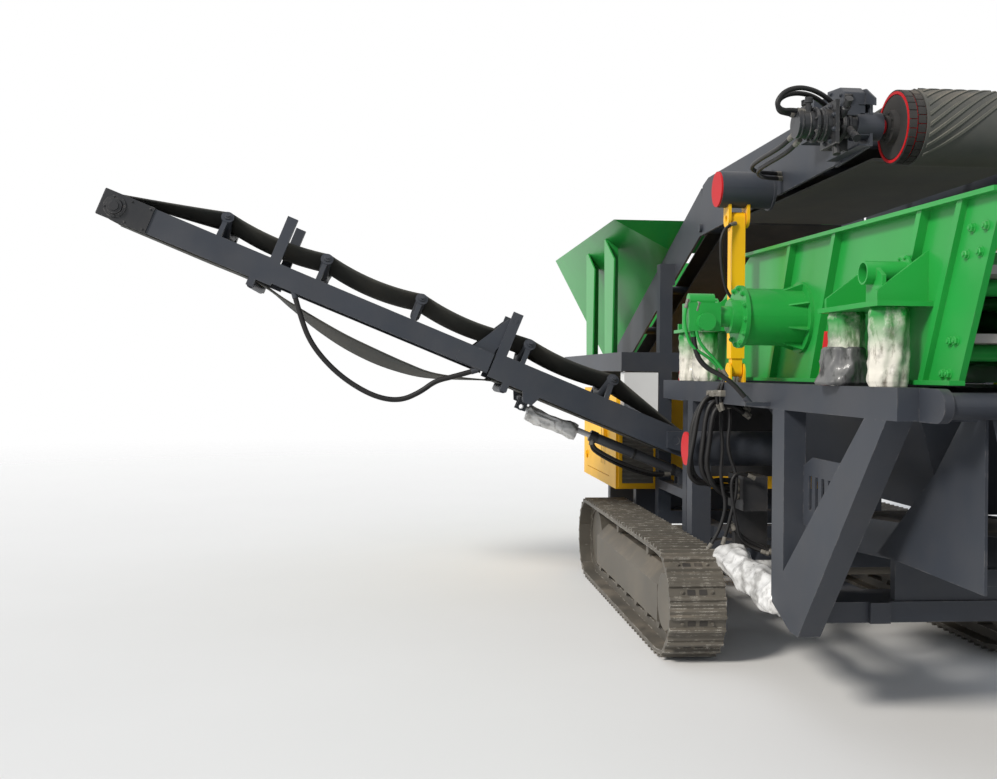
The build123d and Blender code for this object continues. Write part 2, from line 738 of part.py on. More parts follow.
# Splitter that sheds the coarse material onto both side conveyors
splitter_half = 780.0
with BuildPart() as splitter:
    slab_x([(-splitter_half, 1800), (0, 2050), (splitter_half, 1800), (splitter_half, 1830),
            (0, 2080), (-splitter_half, 1830)],
           (gantry_far_x + gantry_depth, gantry_near_x))
finish(splitter, "splitter")

# Main conveyor, lower section
main_run = (main_top_x - tail_drum_x) / cos(radians(main_slope)) + 220.0
main_foot = (main_top_x - main_run * cos(radians(main_slope)),
             main_top_z - main_run * sin(radians(main_slope)))
main_at = sloped(main_foot, main_slope)
main_drum_r = (main_return - main_carry) / 2
with BuildPart() as main_frame:
    for name, side in sides:
        wall = span(side, main_y - main_wall, main_y)
        slab_y([main_at(0, 0), main_at(main_run, 0), (head_hinge_x - 40, head_hinge_z + 60),
                (head_hinge_x - 40, head_hinge_z - 60), main_at(main_run - 130, -main_height),
                main_at(0, -main_height)], wall)
        rod_y(head_hinge_x, head_hinge_z, 62, wall)
        rod_y(head_hinge_x, head_hinge_z, hinge_r, span(side, main_y, main_y + 50))
    for along in (1000, 2100, 3200, main_run - 350):
        x, z = main_at(along, -(main_carry + main_return) / 2)
        rod_y(x, z, 40, (-main_y + main_wall, main_y - main_wall))
    x, z = main_at(220, -(main_carry + main_return) / 2)
    rod_y(x, z, main_drum_r - belt_thick - seat_gap, (-main_belt_half, main_belt_half))
    rod_y(x, z, 40, (-main_y - 30, main_y + 30))
finish(main_frame, "main_frame")

with BuildPart() as main_belt:
    width = (-main_belt_half, main_belt_half)
    slab_y([main_at(220, -main_carry), main_at(220, -main_carry - belt_thick),
            main_at(main_run - 20, -main_carry - belt_thick),
            main_at(main_run - 20, -main_carry)], width)
    slab_y([main_at(220, -main_return), main_at(220, -main_return + belt_thick),
            main_at(main_run - 20, -main_return + belt_thick),
            main_at(main_run - 20, -main_return)], width)
    x, z = main_at(220, -(main_carry + main_return) / 2)
    rod_y(x, z, main_drum_r, width)
    rod_y(x, z, main_drum_r - belt_thick, width, mode=Mode.SUBTRACT)
    slab_y([main_at(220, -main_carry - belt_thick), main_at(220, -main_return + belt_thick),
            main_at(520, -main_return + belt_thick), main_at(520, -main_carry - belt_thick)],
           width, mode=Mode.SUBTRACT)
finish(main_belt, "main_belt")

# Main conveyor, head section
head_y = main_y + 6.0
bearing_half = 120.0
with BuildPart() as head_frame:
    for name, side in sides:
        wall = span(side, head_y, head_y + main_wall)
        slab_y([(main_top_x + 130, head_top - 10), (head_hinge_x - 40, head_low + 60),
                (head_hinge_x - 40, head_low - 60), (head_drum_x - 330, head_low),
                (head_drum_x - 330, head_top), (main_top_x + 300, head_top + 30)], wall)
        rod_y(head_hinge_x, head_hinge_z, hinge_r + pin_gap, wall, mode=Mode.SUBTRACT)
        slab_y([(head_drum_x - 420, head_drum_z - 150), (head_drum_x + 60, head_drum_z - bearing_half),
                (head_drum_x + 60, head_drum_z + bearing_half),
                (head_drum_x - 420, head_drum_z + 180)],
               span(side, head_y, head_y + 16))
        for low, high in ((-bearing_half, 12 - bearing_half), (bearing_half - 12, bearing_half)):
            block((head_drum_x - 400, head_drum_x + 60), span(side, head_y, head_y + 80),
                  (head_drum_z + low, head_drum_z + high))
        block((head_drum_x - 100, head_drum_x + 55), span(side, head_y, head_y + 70),
              (head_drum_z - 60, head_drum_z + 60))
        rod_y(head_drum_x, head_drum_z, 78, span(side, head_y - 60, head_y + 85))
        rod_y(pivot_tube_x, pivot_tube_z, pivot_tube_r,
              span(side, head_y + main_wall, pivot_tube_y - cap_thick))
        rod_y(pivot_tube_x, pivot_tube_z, pivot_tube_r + 14,
              span(side, head_y + main_wall, head_y + main_wall + 16))
        block((head_drum_x - 640, head_drum_x - 420), span(side, head_y + main_wall, head_y + 150),
              (head_top - 210, head_top + 20))
    for x in (pivot_tube_x - 900, pivot_tube_x, pivot_tube_x + 900):
        rod_y(x, (head_top + head_low) / 2, 35, (-head_y, head_y))
finish(head_frame, "head_frame")

with BuildPart() as pivot_caps:
    for name, side in sides:
        rod_y(pivot_tube_x, pivot_tube_z, pivot_tube_r - cap_inset,
              span(side, pivot_tube_y - cap_thick, pivot_tube_y))
finish(pivot_caps, "pivot_caps")

# Ears under the pivot tube that hold the struts' top pins
ear_thick = 20.0
ear_half = 62.0
eye_r = 24.0
with BuildPart() as ears:
    for name, side in sides:
        for near in (strut_y - strut_size / 2 - ear_thick - clearance, strut_y + strut_size / 2 + clearance):
            ear = span(side, near, near + ear_thick)
            block((pivot_tube_x - ear_half, pivot_tube_x + ear_half), ear, (strut_eye_z, pivot_tube_z))
            rod_y(pivot_tube_x, strut_eye_z, ear_half, ear)
            rod_y(pivot_tube_x, strut_eye_z, eye_r, ear, mode=Mode.SUBTRACT)
        rod_y(pivot_tube_x, pivot_tube_z, pivot_tube_r, span(side, main_y, pivot_tube_y),
              mode=Mode.SUBTRACT)
finish(ears, "strut_ears")

head_carry = head_drum_z + head_drum_r + belt_thick
return_angle = 15.0
head_belt_half = main_belt_half - 15.0
with BuildPart() as head_belt:
    width = (-head_belt_half, head_belt_half)
    start = head_hinge_x + 60
    slab_y([(start, main_top_z - main_carry - 30), (start, main_top_z - main_carry - 30 - belt_thick),
            (head_drum_x, head_carry - belt_thick), (head_drum_x, head_carry)], width)
    leave = radians(return_angle)
    tangent = (head_drum_x - head_drum_r * sin(leave), head_drum_z - head_drum_r * cos(leave))
    climb = (head_low + 60 - tangent[1]) / sin(leave)
    turn = (tangent[0] - climb * cos(leave), head_low + 60)
    skin = (-belt_thick * sin(leave), -belt_thick * cos(leave))
    slab_y([(start, turn[1]), (start, turn[1] - belt_thick), (turn[0], turn[1] - belt_thick),
            (tangent[0] + skin[0], tangent[1] + skin[1]), tangent, turn], width)
    with BuildSketch(Plane.XZ.offset(-width[1])) as wrap:
        with Locations((head_drum_x, head_drum_z)):
            Circle(head_drum_r + belt_thick)
            Circle(head_drum_r, mode=Mode.SUBTRACT)
        with BuildLine():
            Polyline((head_drum_x, head_drum_z), (head_drum_x, head_drum_z + 300),
                     (head_drum_x - 400, head_drum_z + 300), (head_drum_x - 400, head_drum_z - 300),
                     (head_drum_x - 300 * tan(leave), head_drum_z - 300), close=True)
        make_face(mode=Mode.SUBTRACT)
    extrude(wrap.sketch, amount=width[1] - width[0])
finish(head_belt, "head_belt")

drum_shell = 16.0
drum_recess = 90.0
with BuildPart() as head_drum:
    rod_y(head_drum_x, head_drum_z, head_drum_r - seat_gap, (-head_drum_half, head_drum_half))
    for name, side in sides:
        rod_y(head_drum_x, head_drum_z, head_drum_r - drum_shell,
              span(side, head_drum_half - drum_recess, head_drum_half + 1), mode=Mode.SUBTRACT)
    rod_y(head_drum_x, head_drum_z, 40, (-head_y + 60, head_y - 60))
finish(head_drum, "head_drum")

with BuildPart() as head_drive:
    rod_y(head_drum_x, head_drum_z, 62, (-head_y - 210, -head_y - 85))
    block((head_drum_x - 110, head_drum_x + 110), (-head_y - 232, -head_y - 210),
          (head_drum_z - 120, head_drum_z + 120))
    rod_y(head_drum_x, head_drum_z, 88, (-head_y - 290, -head_y - 232))
    rod_y(head_drum_x, head_drum_z, 76, (-head_y - 420, -head_y - 290))
    block((head_drum_x - 110, head_drum_x - 90), (-head_y - 210, -head_y - 80),
          (head_drum_z - bearing_half, head_drum_z + bearing_half))
finish(head_drive, "head_drive")

# Telescopic struts between the rails and the head section
leg_size = strut_size - 2 * strut_wall - 2 * slide_gap
strut_x = pivot_tube_x
for name, side in sides:
    with BuildPart() as strut_leg:
        block((strut_x - leg_size / 2, strut_x + leg_size / 2),
              span(side, strut_y - leg_size / 2, strut_y + leg_size / 2),
              (strut_foot_z, strut_eye_z - 110))
        rod_y(strut_x, strut_foot_z, leg_size / 2, span(side, strut_y - leg_size / 2,
                                                        strut_y + leg_size / 2))
        rod_y(strut_x, strut_foot_z, 20 + pin_gap, span(side, strut_y - leg_size,
                                                        strut_y + leg_size), mode=Mode.SUBTRACT)
    finish(strut_leg, f"strut_leg_{name}")
    with BuildPart() as strut_sleeve:
        half = strut_size / 2
        block((strut_x - half, strut_x + half), span(side, strut_y - half, strut_y + half),
              (strut_foot_z + 90, strut_eye_z))
        rod_y(strut_x, strut_eye_z, half, span(side, strut_y - half, strut_y + half))
        cavity = half - strut_wall
        block((strut_x - cavity, strut_x + cavity), span(side, strut_y - cavity, strut_y + cavity),
              (strut_foot_z + 90, strut_eye_z - 80), mode=Mode.SUBTRACT)
        rod_y(strut_x, strut_eye_z, eye_r, span(side, strut_y - half, strut_y + half),
              mode=Mode.SUBTRACT)
    finish(strut_sleeve, f"strut_sleeve_{name}")

with BuildPart() as feet:
    for name, side in sides:
        for near in (strut_y - leg_size / 2 - 18, strut_y + leg_size / 2 + 6):
            foot = span(side, near, near + 12)
            block((strut_x - 60, strut_x + 60), foot, (rail_high, strut_foot_z))
            rod_y(strut_x, strut_foot_z, 60, foot)
        rod_y(strut_x, strut_foot_z, 20, span(side, strut_y - leg_size / 2 - 18,
                                              strut_y + leg_size / 2 + 18))
finish(feet, "strut_feet")

# Feed hopper and its legs
throat_along = [(main_top_x - x) / cos(radians(main_slope)) for x in (throat_near, throat_far)]
throat_lift = 25.0
near_at = main_at(main_run - throat_along[0], throat_lift)
far_at = main_at(main_run - throat_along[1], throat_lift)
throat_plane = Plane(origin=((near_at[0] + far_at[0]) / 2, 0, (near_at[1] + far_at[1]) / 2),
                     x_dir=(cos(radians(main_slope)), 0, sin(radians(main_slope))),
                     z_dir=(-sin(radians(main_slope)), 0, cos(radians(main_slope))))


def hopper_body(inset, extra, mode):
    """The hopper's form, its walls set in and its two ends moved out."""
    with BuildSketch(throat_plane.offset(-extra)) as low:
        Rectangle(throat_along[1] - throat_along[0] - 2 * inset, 2 * (throat_y - inset))
    with BuildSketch(Plane.XY.offset(rim_z + extra)) as high:
        with Locations(((rim_near + rim_far) / 2, 0)):
            Rectangle(rim_near - rim_far - 2 * inset, 2 * (hopper_y - inset))
    loft([low.sketch.face(), high.sketch.face()], ruled=True, mode=mode)


with BuildPart() as hopper:
    hopper_body(0, 0, Mode.ADD)
    hopper_body(hopper_wall, 1, Mode.SUBTRACT)
finish(hopper, "feed_hopper")

leg_y = 1210.0
leg_plate = 14.0
leg_fold = 130.0
leg_foot = 190.0
leg_head = 260.0
leg_shoulder_z = rim_z - 330.0
with BuildPart() as legs:
    for name, side in sides:
        for x in (track_x - 1650.0, track_x - 2750.0):
            outline = [(x - leg_foot, hopper_beam_high), (x + leg_foot, hopper_beam_high),
                       (x + leg_head, leg_shoulder_z), (x - leg_head, rim_z - 60)]
            slab_y(outline, span(side, leg_y - leg_plate, leg_y))
            slab_x([(side * leg_y, hopper_beam_high), (side * (leg_y - leg_fold), hopper_beam_high),
                    (side * (leg_y - leg_fold), rim_z - 60), (side * leg_y, rim_z - 60)],
                   (x - leg_foot, x - leg_foot + leg_plate))
    hopper_body(0, 0, Mode.SUBTRACT)
finish(legs, "hopper_legs")

# Engine cabinet with a door in each side and a grille towards the screen
door_far = cabinet_far + 220.0
door_near = cabinet_near - 330.0
door_low = cabinet_low + 90.0
door_high = cabinet_high - 90.0
door_gap = 6.0
grille_y = 480.0
grille_low = cabinet_low + 120.0
grille_high = cabinet_high - 120.0
hinge_out = 14.0
knuckle_r = 9.0
knuckle_length = 40.0
door_pin_r = 5.0
leaf_thick = 6.0
leaf_reach = 50.0
hinge_zs = (door_low + 130.0, door_high - 130.0)
with BuildPart() as cabinet:
    block((cabinet_far, cabinet_near), (-cabinet_y, cabinet_y), (cabinet_low, cabinet_high))
    block((cabinet_far + cabinet_wall, cabinet_near - cabinet_wall),
          (-cabinet_y + cabinet_wall, cabinet_y - cabinet_wall),
          (cabinet_low + cabinet_wall, cabinet_high - cabinet_wall), mode=Mode.SUBTRACT)
    block((door_far, door_near), (-cabinet_y - 1, cabinet_y + 1), (door_low, door_high),
          mode=Mode.SUBTRACT)
    block((cabinet_near - cabinet_wall - 1, cabinet_near + 1), (-grille_y, grille_y),
          (grille_low, grille_high), mode=Mode.SUBTRACT)
    for name, side in sides:
        for z in hinge_zs:
            axis_y = side * (cabinet_y + hinge_out)
            block((door_far - leaf_reach, door_far), span(side, cabinet_y, cabinet_y + leaf_thick),
                  (z - knuckle_length, z - 1))
            rod_z(door_far, axis_y, knuckle_r, (z - knuckle_length, z - 1))
            rod_z(door_far, axis_y, door_pin_r, (z - 1, z + knuckle_length))
finish(cabinet, "engine_cabinet")
for name, side in sides:
    with BuildPart() as door:
        leaf = span(side, cabinet_y - cabinet_wall, cabinet_y)
        block((door_far + door_gap, door_near - door_gap), leaf,
              (door_low + door_gap, door_high - door_gap))
        for z in hinge_zs:
            axis_y = side * (cabinet_y + hinge_out)
            block((door_far, door_far + leaf_reach), span(side, cabinet_y, cabinet_y + leaf_thick),
                  (z, z + knuckle_length))
            rod_z(door_far, axis_y, knuckle_r, (z, z + knuckle_length))
            rod_z(door_far, axis_y, door_pin_r + pin_gap, (z, z + knuckle_length),
                  mode=Mode.SUBTRACT)
        block((door_near - 160, door_near - 130), span(side, cabinet_y, cabinet_y + 35),
              ((door_low + door_high) / 2 - 80, (door_low + door_high) / 2 + 80))
    finish(door, f"cabinet_door_{name}")
with BuildPart() as radiator:
    block((cabinet_near - cabinet_wall, cabinet_near - 5), (-grille_y, grille_y),
          (grille_low, grille_high))
finish(radiator, "radiator")
with BuildPart() as engine:
    block((cabinet_far + 350, cabinet_near - 330), (-380, 380), (cabinet_low + cabinet_wall, 1700))
finish(engine, "engine")
with BuildPart() as control_box:
    block((cabinet_near, cabinet_near + 170), (-cabinet_y + 40, -gantry_y - gantry_width - 8),
          (1600, 2050))
finish(control_box, "control_box")
with BuildPart() as valves:
    block((post_x + post_size + 250, post_x + post_size + 620), (-rail_inner_y + 60, -650),
          (1050, 1300))
    block((post_x + post_size + 300, post_x + post_size + 360), (-rail_inner_y + 80, -base_rail_y),
          (base_high, 1050))
finish(valves, "valve_bank")

# Side conveyors: a base that a cylinder lifts and a tip that folds up and over
channel_half = side_channel / 2
side_length = (side_tip_y - side_drum_y) / cos(radians(side_slope))
channel_wall = 12.0
slim_half = channel_half - 20.0
upright_size = 90.0
upright_s = side_fold_s - upright_size / 2
upright_tip_s = 3705.0
upright_top = side_fold_h + 70.0
fold_gap = 8.0              # between the belts' ends at the fold, to each side of the pin
fold_lug = (52.0, 72.0)     # the conveyor's edge in to the lug's two faces
wing_x = (120.0, 335.0)
wing_h = (150.0, 280.0)
side_roller_r = 44.0
roller_ss = ((690.0, 1480.0), (2490.0, 3360.0, 4260.0))
return_roller_r = 35.0
return_ss = (1546.0, 3869.0)
return_low = -160.0
lift_pin_s = 1310.0
lift_pin_h = -235.0
lift_tube_h = -158.0
lift_tube_r = 32.0
belt_seat = 3.5


def across(side, along):
    """A plane across a side conveyor, X across it and Y out of its carrying face."""
    y, z = sloped((side * side_drum_y, side_drum_z), side_slope, side)(along, 0)
    return Plane(origin=(side_x, y, z), x_dir=(1, 0, 0),
                 z_dir=(0, -cos(radians(side_slope)), -side * sin(radians(side_slope))))


def channels(place, start, end, half, web=channel_wall):
    """Two channel sections along a side conveyor, their flanges facing inwards."""
    for edge in (-1, 1):
        outer = side_x + edge * side_half
        slab_x([place(start, -half), place(end, -half), place(end, half), place(start, half)],
               tuple(sorted((outer, outer - edge * web))))
        for low, high in ((-half, -half + web), (half - web, half)):
            slab_x([place(start, low), place(end, low), place(end, high), place(start, high)],
                   tuple(sorted((outer, outer - edge * side_flange))))


def roller_set(side, along, seat):
    """Three idlers in a trough and the bracket that carries them."""
    plane = across(side, along)
    up = plane.y_dir
    for edge in (-1, 1):
        start = plane.origin + Vector(edge * wing_x[0], 0, 0) + up * wing_h[0]
        end = plane.origin + Vector(edge * wing_x[1], 0, 0) + up * wing_h[1]
        bar(tuple(start), tuple(end), side_roller_r)
    low = plane.origin + up * wing_h[0]
    bar(tuple(low - Vector(wing_x[0], 0, 0)), tuple(low + Vector(wing_x[0], 0, 0)), side_roller_r)
    for edge in (-1, 1):
        with BuildSketch(plane) as bracket:
            with BuildLine():
                Polyline((edge * (side_half - 2), seat - 5), (edge * (side_half - 2), seat + 25),
                         (edge * (wing_x[1] + 20), wing_h[1] + 10),
                         (edge * (wing_x[1] - 30), wing_h[1] - 25),
                         (edge * (side_half - 44), seat - 5), close=True)
            make_face()
        extrude(bracket.sketch, amount=20, both=True)


def uprights(place, along):
    """The posts that keep the folded sections apart."""
    for edge in (-1, 1):
        outer = side_x + edge * side_half
        slab_x([place(along, -channel_half), place(along + upright_size, -channel_half),
                place(along + upright_size, upright_top), place(along, upright_top)],
               tuple(sorted((outer, outer - edge * side_flange))))


def return_roller(place, along):
    """The roller under the returning belt and the two plates that hold it."""
    y, z = place(along, return_low)
    rod_x(y, z, return_roller_r, (side_x - side_half + 60, side_x + side_half - 60))
    for edge in (-1, 1):
        slab_x([place(along - 30, return_low - 20), place(along + 30, return_low - 20),
                place(along + 30, 20 - channel_half), place(along - 30, 20 - channel_half)],
               tuple(sorted((side_x + edge * (side_half - 60), side_x + edge * side_half))))


def trough(side, along, drop, spread=1.0):
    """The belt's section across a side conveyor, its wings lying on the idlers."""
    half_turn = atan2(wing_h[1] - wing_h[0], wing_x[1] - wing_x[0])
    base = wing_h[0] + side_roller_r + belt_seat - drop
    knee = wing_x[0] - side_roller_r * tan(half_turn / 2)
    rise = (side_belt_half - knee) * tan(half_turn) * spread
    with BuildSketch(across(side, along)) as section:
        with BuildLine():
            Polyline((-side_belt_half, base + rise), (-knee, base), (knee, base),
                     (side_belt_half, base + rise), (side_belt_half, base + rise + belt_thick),
                     (knee, base + belt_thick), (-knee, base + belt_thick),
                     (-side_belt_half, base + rise + belt_thick), close=True)
        make_face()
    return section.sketch.face()


for name, side in sides:
    place = sloped((side * side_drum_y, side_drum_z), side_slope, side)
    with BuildPart() as side_base:
        channels(place, -170, upright_s + upright_size, channel_half)
        uprights(place, upright_s)
        for along in (850, upright_s - 80):
            slab_x([place(along, -50), place(along + 60, -50), place(along + 60, 50),
                    place(along, 50)], (side_x - side_half + 5, side_x + side_half - 5))
        for along in roller_ss[0]:
            roller_set(side, along, channel_half)
        y, z = place(0, 0)
        rod_x(y, z, side_drum_r - seat_gap, (side_x - side_belt_half, side_x + side_belt_half))
        rod_x(y, z, hinge_r, (ear_far - 18, ear_near + 40))
        y, z = place(side_fold_s, side_fold_h)
        for edge in (-1, 1):
            outer = side_x + edge * side_half
            rod_x(y, z, 20 + pin_gap, tuple(sorted((outer, outer - edge * side_flange))),
                  mode=Mode.SUBTRACT)
        y, z = place(lift_pin_s, lift_tube_h)
        rod_x(y, z, lift_tube_r, (side_x - side_half + 2, side_x + side_half - 2))
        for edge in (-1, 1):
            slab_x([place(lift_pin_s - 90, 20 - channel_half), place(lift_pin_s + 90, 20 - channel_half),
                    place(lift_pin_s + 40, lift_tube_h - 40), place(lift_pin_s - 40, lift_tube_h - 40)],
                   tuple(sorted((side_x + edge * (side_half - 20), side_x + edge * side_half))))
            ear = tuple(sorted((side_x + edge * 42, side_x + edge * 62)))
            slab_x([place(lift_pin_s - 45, lift_tube_h), place(lift_pin_s + 45, lift_tube_h),
                    place(lift_pin_s + 45, lift_pin_h - 30), place(lift_pin_s - 45, lift_pin_h - 30)],
                   ear)
            y, z = place(lift_pin_s, lift_pin_h)
            rod_x(y, z, 21, ear, mode=Mode.SUBTRACT)
        return_roller(place, return_ss[0])
    finish(side_base, f"side_base_{name}")

    with BuildPart() as base_belt:
        rest = -(wing_h[0] + side_roller_r - side_drum_r)
        flat = 0.03
        loft([trough(side, along, drop, spread) for along, drop, spread in
              ((0, -rest + belt_seat, flat), (roller_ss[0][0], 0, 1), (1085, 35, .8),
               (roller_ss[0][1], 0, 1), (side_fold_s - fold_gap, 10, .95))], ruled=True)
        width = (side_x - side_belt_half, side_x + side_belt_half)
        y, z = place(0, 0)
        with BuildSketch(Plane.YZ.offset(width[0])) as wrap:
            with Locations((y, z)):
                Circle(side_drum_r + belt_thick)
                Circle(side_drum_r, mode=Mode.SUBTRACT)
            with BuildLine():
                Polyline(place(0, -200), place(400, -200), place(400, 200), place(0, 200), close=True)
            make_face(mode=Mode.SUBTRACT)
        extrude(wrap.sketch, amount=width[1] - width[0])
        low = -side_drum_r
        edge_s = side_fold_s - fold_gap
        slab_x([place(0, low), place(return_ss[0] + 50, low - 5), place(edge_s, low - 20),
                place(edge_s, low - 20 - belt_thick), place(return_ss[0] + 50, low - 5 - belt_thick),
                place(0, low - belt_thick)], width)
    finish(base_belt, f"side_base_belt_{name}")

    with BuildPart() as side_tip:
        slim_s = side_fold_s + upright_size / 2 + 15
        channels(place, slim_s, upright_tip_s, slim_half, 8)
        channels(place, upright_tip_s, side_length + 130, channel_half)
        uprights(place, upright_tip_s)
        return_roller(place, return_ss[1])
        for along in (2060, 3100, 4400):
            slab_x([place(along, -50), place(along + 60, -50), place(along + 60, 50),
                    place(along, 50)], (side_x - side_half + 5, side_x + side_half - 5))
        for along in roller_ss[1]:
            roller_set(side, along, channel_half if along > upright_tip_s else slim_half)
        y, z = place(side_length, 0)
        rod_x(y, z, side_drum_r - seat_gap, (side_x - side_belt_half, side_x + side_belt_half))
        rod_x(y, z, 30, (side_x - side_half, side_x + side_half))
        for edge in (-1, 1):
            outer = side_x + edge * side_half
            lug = tuple(sorted(outer - edge * depth for depth in fold_lug))
            slab_x([place(slim_s, 20 - slim_half), place(slim_s + 190, 20 - slim_half),
                    place(slim_s + 190, slim_half), place(side_fold_s + 55, side_fold_h + 5),
                    place(side_fold_s, side_fold_h + 45), place(side_fold_s - 40, side_fold_h),
                    place(side_fold_s - 20, side_fold_h - 45), place(slim_s, 120)], lug)
            slab_x([place(slim_s + 10, -50), place(slim_s + 180, -50), place(slim_s + 180, 50),
                    place(slim_s + 10, 50)],
                   tuple(sorted((outer - edge * 4, outer - edge * (fold_lug[0] + 2)))))
            slab_x([place(slim_s, 8 - slim_half), place(2030, 8 - slim_half), place(2030, slim_half - 8),
                    place(slim_s, slim_half - 8)], tuple(sorted((outer, outer + edge * 6))))
            y, z = place(side_fold_s, side_fold_h)
            rod_x(y, z, 20, tuple(sorted((outer - edge * fold_lug[0], outer + edge * 4))))
        hose_x = side_x + side_half - tip_hose_in
        tip_hose_points = [(hose_x, *place(along, above)) for along, above in tip_hose_route]
        for first, second in (tip_hose_points[:2], tip_hose_points[:-3:-1]):
            hose_end(first, second, tip_hose * hose_end_wide * 0.95, hose_end_long)
    finish(side_tip, f"side_tip_{name}")
    if name == "left":
        hose(tip_hose_points, tip_hose, "hose_tip_left")

    with BuildPart() as tip_belt:
        loft([trough(side, along, drop, spread) for along, drop, spread in
              ((side_fold_s + fold_gap, 10, .95), (2080, 45, .8), (roller_ss[1][0], 0, 1),
               (2925, 50, .8), (roller_ss[1][1], 0, 1), (3810, 45, .8), (roller_ss[1][2], 0, 1),
               (4700, 30, .6), (side_length, -rest + belt_seat, flat))], ruled=True)
        y, z = place(side_length, 0)
        with BuildSketch(Plane.YZ.offset(width[0])) as wrap:
            with Locations((y, z)):
                Circle(side_drum_r + belt_thick)
                Circle(side_drum_r, mode=Mode.SUBTRACT)
            with BuildLine():
                Polyline(place(side_length, -200), place(side_length - 400, -200),
                         place(side_length - 400, 200), place(side_length, 200), close=True)
            make_face(mode=Mode.SUBTRACT)
        extrude(wrap.sketch, amount=width[1] - width[0])
        sag = [(side_length, low), (return_ss[1], low - 5), (3283, low - 145), (2674, low - 215),
               (2176, low - 185), (side_fold_s + fold_gap, low - 22)]
        slab_x([place(along, above) for along, above in sag]
               + [place(along, above - belt_thick) for along, above in reversed(sag)], width)
    finish(tip_belt, f"side_tip_belt_{name}")

    eye_y, eye_z = place(lift_pin_s, lift_pin_h)
    run = Vector(0, eye_y - side * foot_y, eye_z - foot_z)
    aim = run.normalized()
    foot = Vector(side_x, side * foot_y, foot_z)
    eye = Vector(side_x, eye_y, eye_z)
    with BuildPart() as lift_barrel:
        rod_x(side * foot_y, foot_z, 38, (side_x - 34, side_x + 34))
        rod_x(side * foot_y, foot_z, 20, (side_x - foot_ear, side_x + foot_ear))
        bar(tuple(foot + aim * 60), tuple(foot + aim * 940), 45)
        bar(tuple(foot + aim * 20), tuple(foot + aim * 62), 26)
        bar(tuple(foot + aim * 120), tuple(foot + aim * 941), 25 + pin_gap, mode=Mode.SUBTRACT)
    finish(lift_barrel, f"lift_barrel_{name}")
    with BuildPart() as lift_rod:
        bar(tuple(foot + aim * 500), tuple(eye - aim * 20), 25)
        rod_x(eye_y, eye_z, 36, (side_x - 32, side_x + 32))
        rod_x(eye_y, eye_z, 20, (side_x - 32, side_x + 32), mode=Mode.SUBTRACT)
    finish(lift_rod, f"lift_rod_{name}")

# Tail conveyor: a fixed lower run between hanging walls and a part that folds up
lower_slope = 4.0
lower_foot = (track_x + 1800.0, 985.0)
lower_at = sloped(lower_foot, lower_slope)
lower_end = 2700.0
tail_lower_y = 440.0
lower_wall_half = 110.0
lower_drum_r = 81.0
with BuildPart() as tail_lower:
    for name, side in sides:
        wall = span(side, tail_lower_y, tail_lower_y + 16)
        slab_y([lower_at(-150, -lower_wall_half), lower_at(lower_end, -lower_wall_half),
                lower_at(lower_end, lower_wall_half), lower_at(-150, lower_wall_half)], wall)
        panel = span(side, tail_y, tail_y + 14)
        slab_y([(track_x + 3400, 1050), (tail_hinge_x - 90, 1040),
                (tail_hinge_x - 90, rail_low + 20), (track_x + 4330, rail_low + 20),
                (track_x + 4060, 1560)], panel)
        for x in (track_x + 3560, tail_hinge_x - 260):
            block((x, x + 60), span(side, tail_lower_y + 16, tail_y), (1060, 1140))
        block((tail_hinge_x - 250, tail_hinge_x - 160), span(side, tail_y + 14, rail_inner_y),
              (rail_low, rail_low + 20))
    for along in (300, 1300, 2300):
        x, z = lower_at(along, 0)
        rod_y(x, z, 35, (-tail_lower_y, tail_lower_y))
    x, z = lower_at(0, 0)
    rod_y(x, z, lower_drum_r - seat_gap, (-tail_lower_y + 20, tail_lower_y - 20))
    rod_y(x, z, 30, (-tail_lower_y, tail_lower_y))
    for along in (260, 1340):
        x, z = lower_at(along, 4 - lower_wall_half)
        block((x, x + 60), (-tail_lower_y - 16, tail_lower_y + 16), (base_high, z))
finish(tail_lower, "tail_lower_frame")
with BuildPart() as lower_belt:
    width = (-tail_lower_y + 12, tail_lower_y - 12)
    for low in (-lower_drum_r - belt_thick, lower_drum_r):
        slab_y([lower_at(0, low), lower_at(lower_end - 20, low),
                lower_at(lower_end - 20, low + belt_thick), lower_at(0, low + belt_thick)], width)
    with BuildSketch(Plane.XZ.offset(-width[1])) as wrap:
        with Locations(lower_at(0, 0)):
            Circle(lower_drum_r + belt_thick)
            Circle(lower_drum_r, mode=Mode.SUBTRACT)
        with BuildLine():
            Polyline(lower_at(0, -200), lower_at(200, -200), lower_at(200, 200),
                     lower_at(0, 200), close=True)
        make_face(mode=Mode.SUBTRACT)
    extrude(wrap.sketch, amount=width[1] - width[0])
finish(lower_belt, "tail_lower_belt")

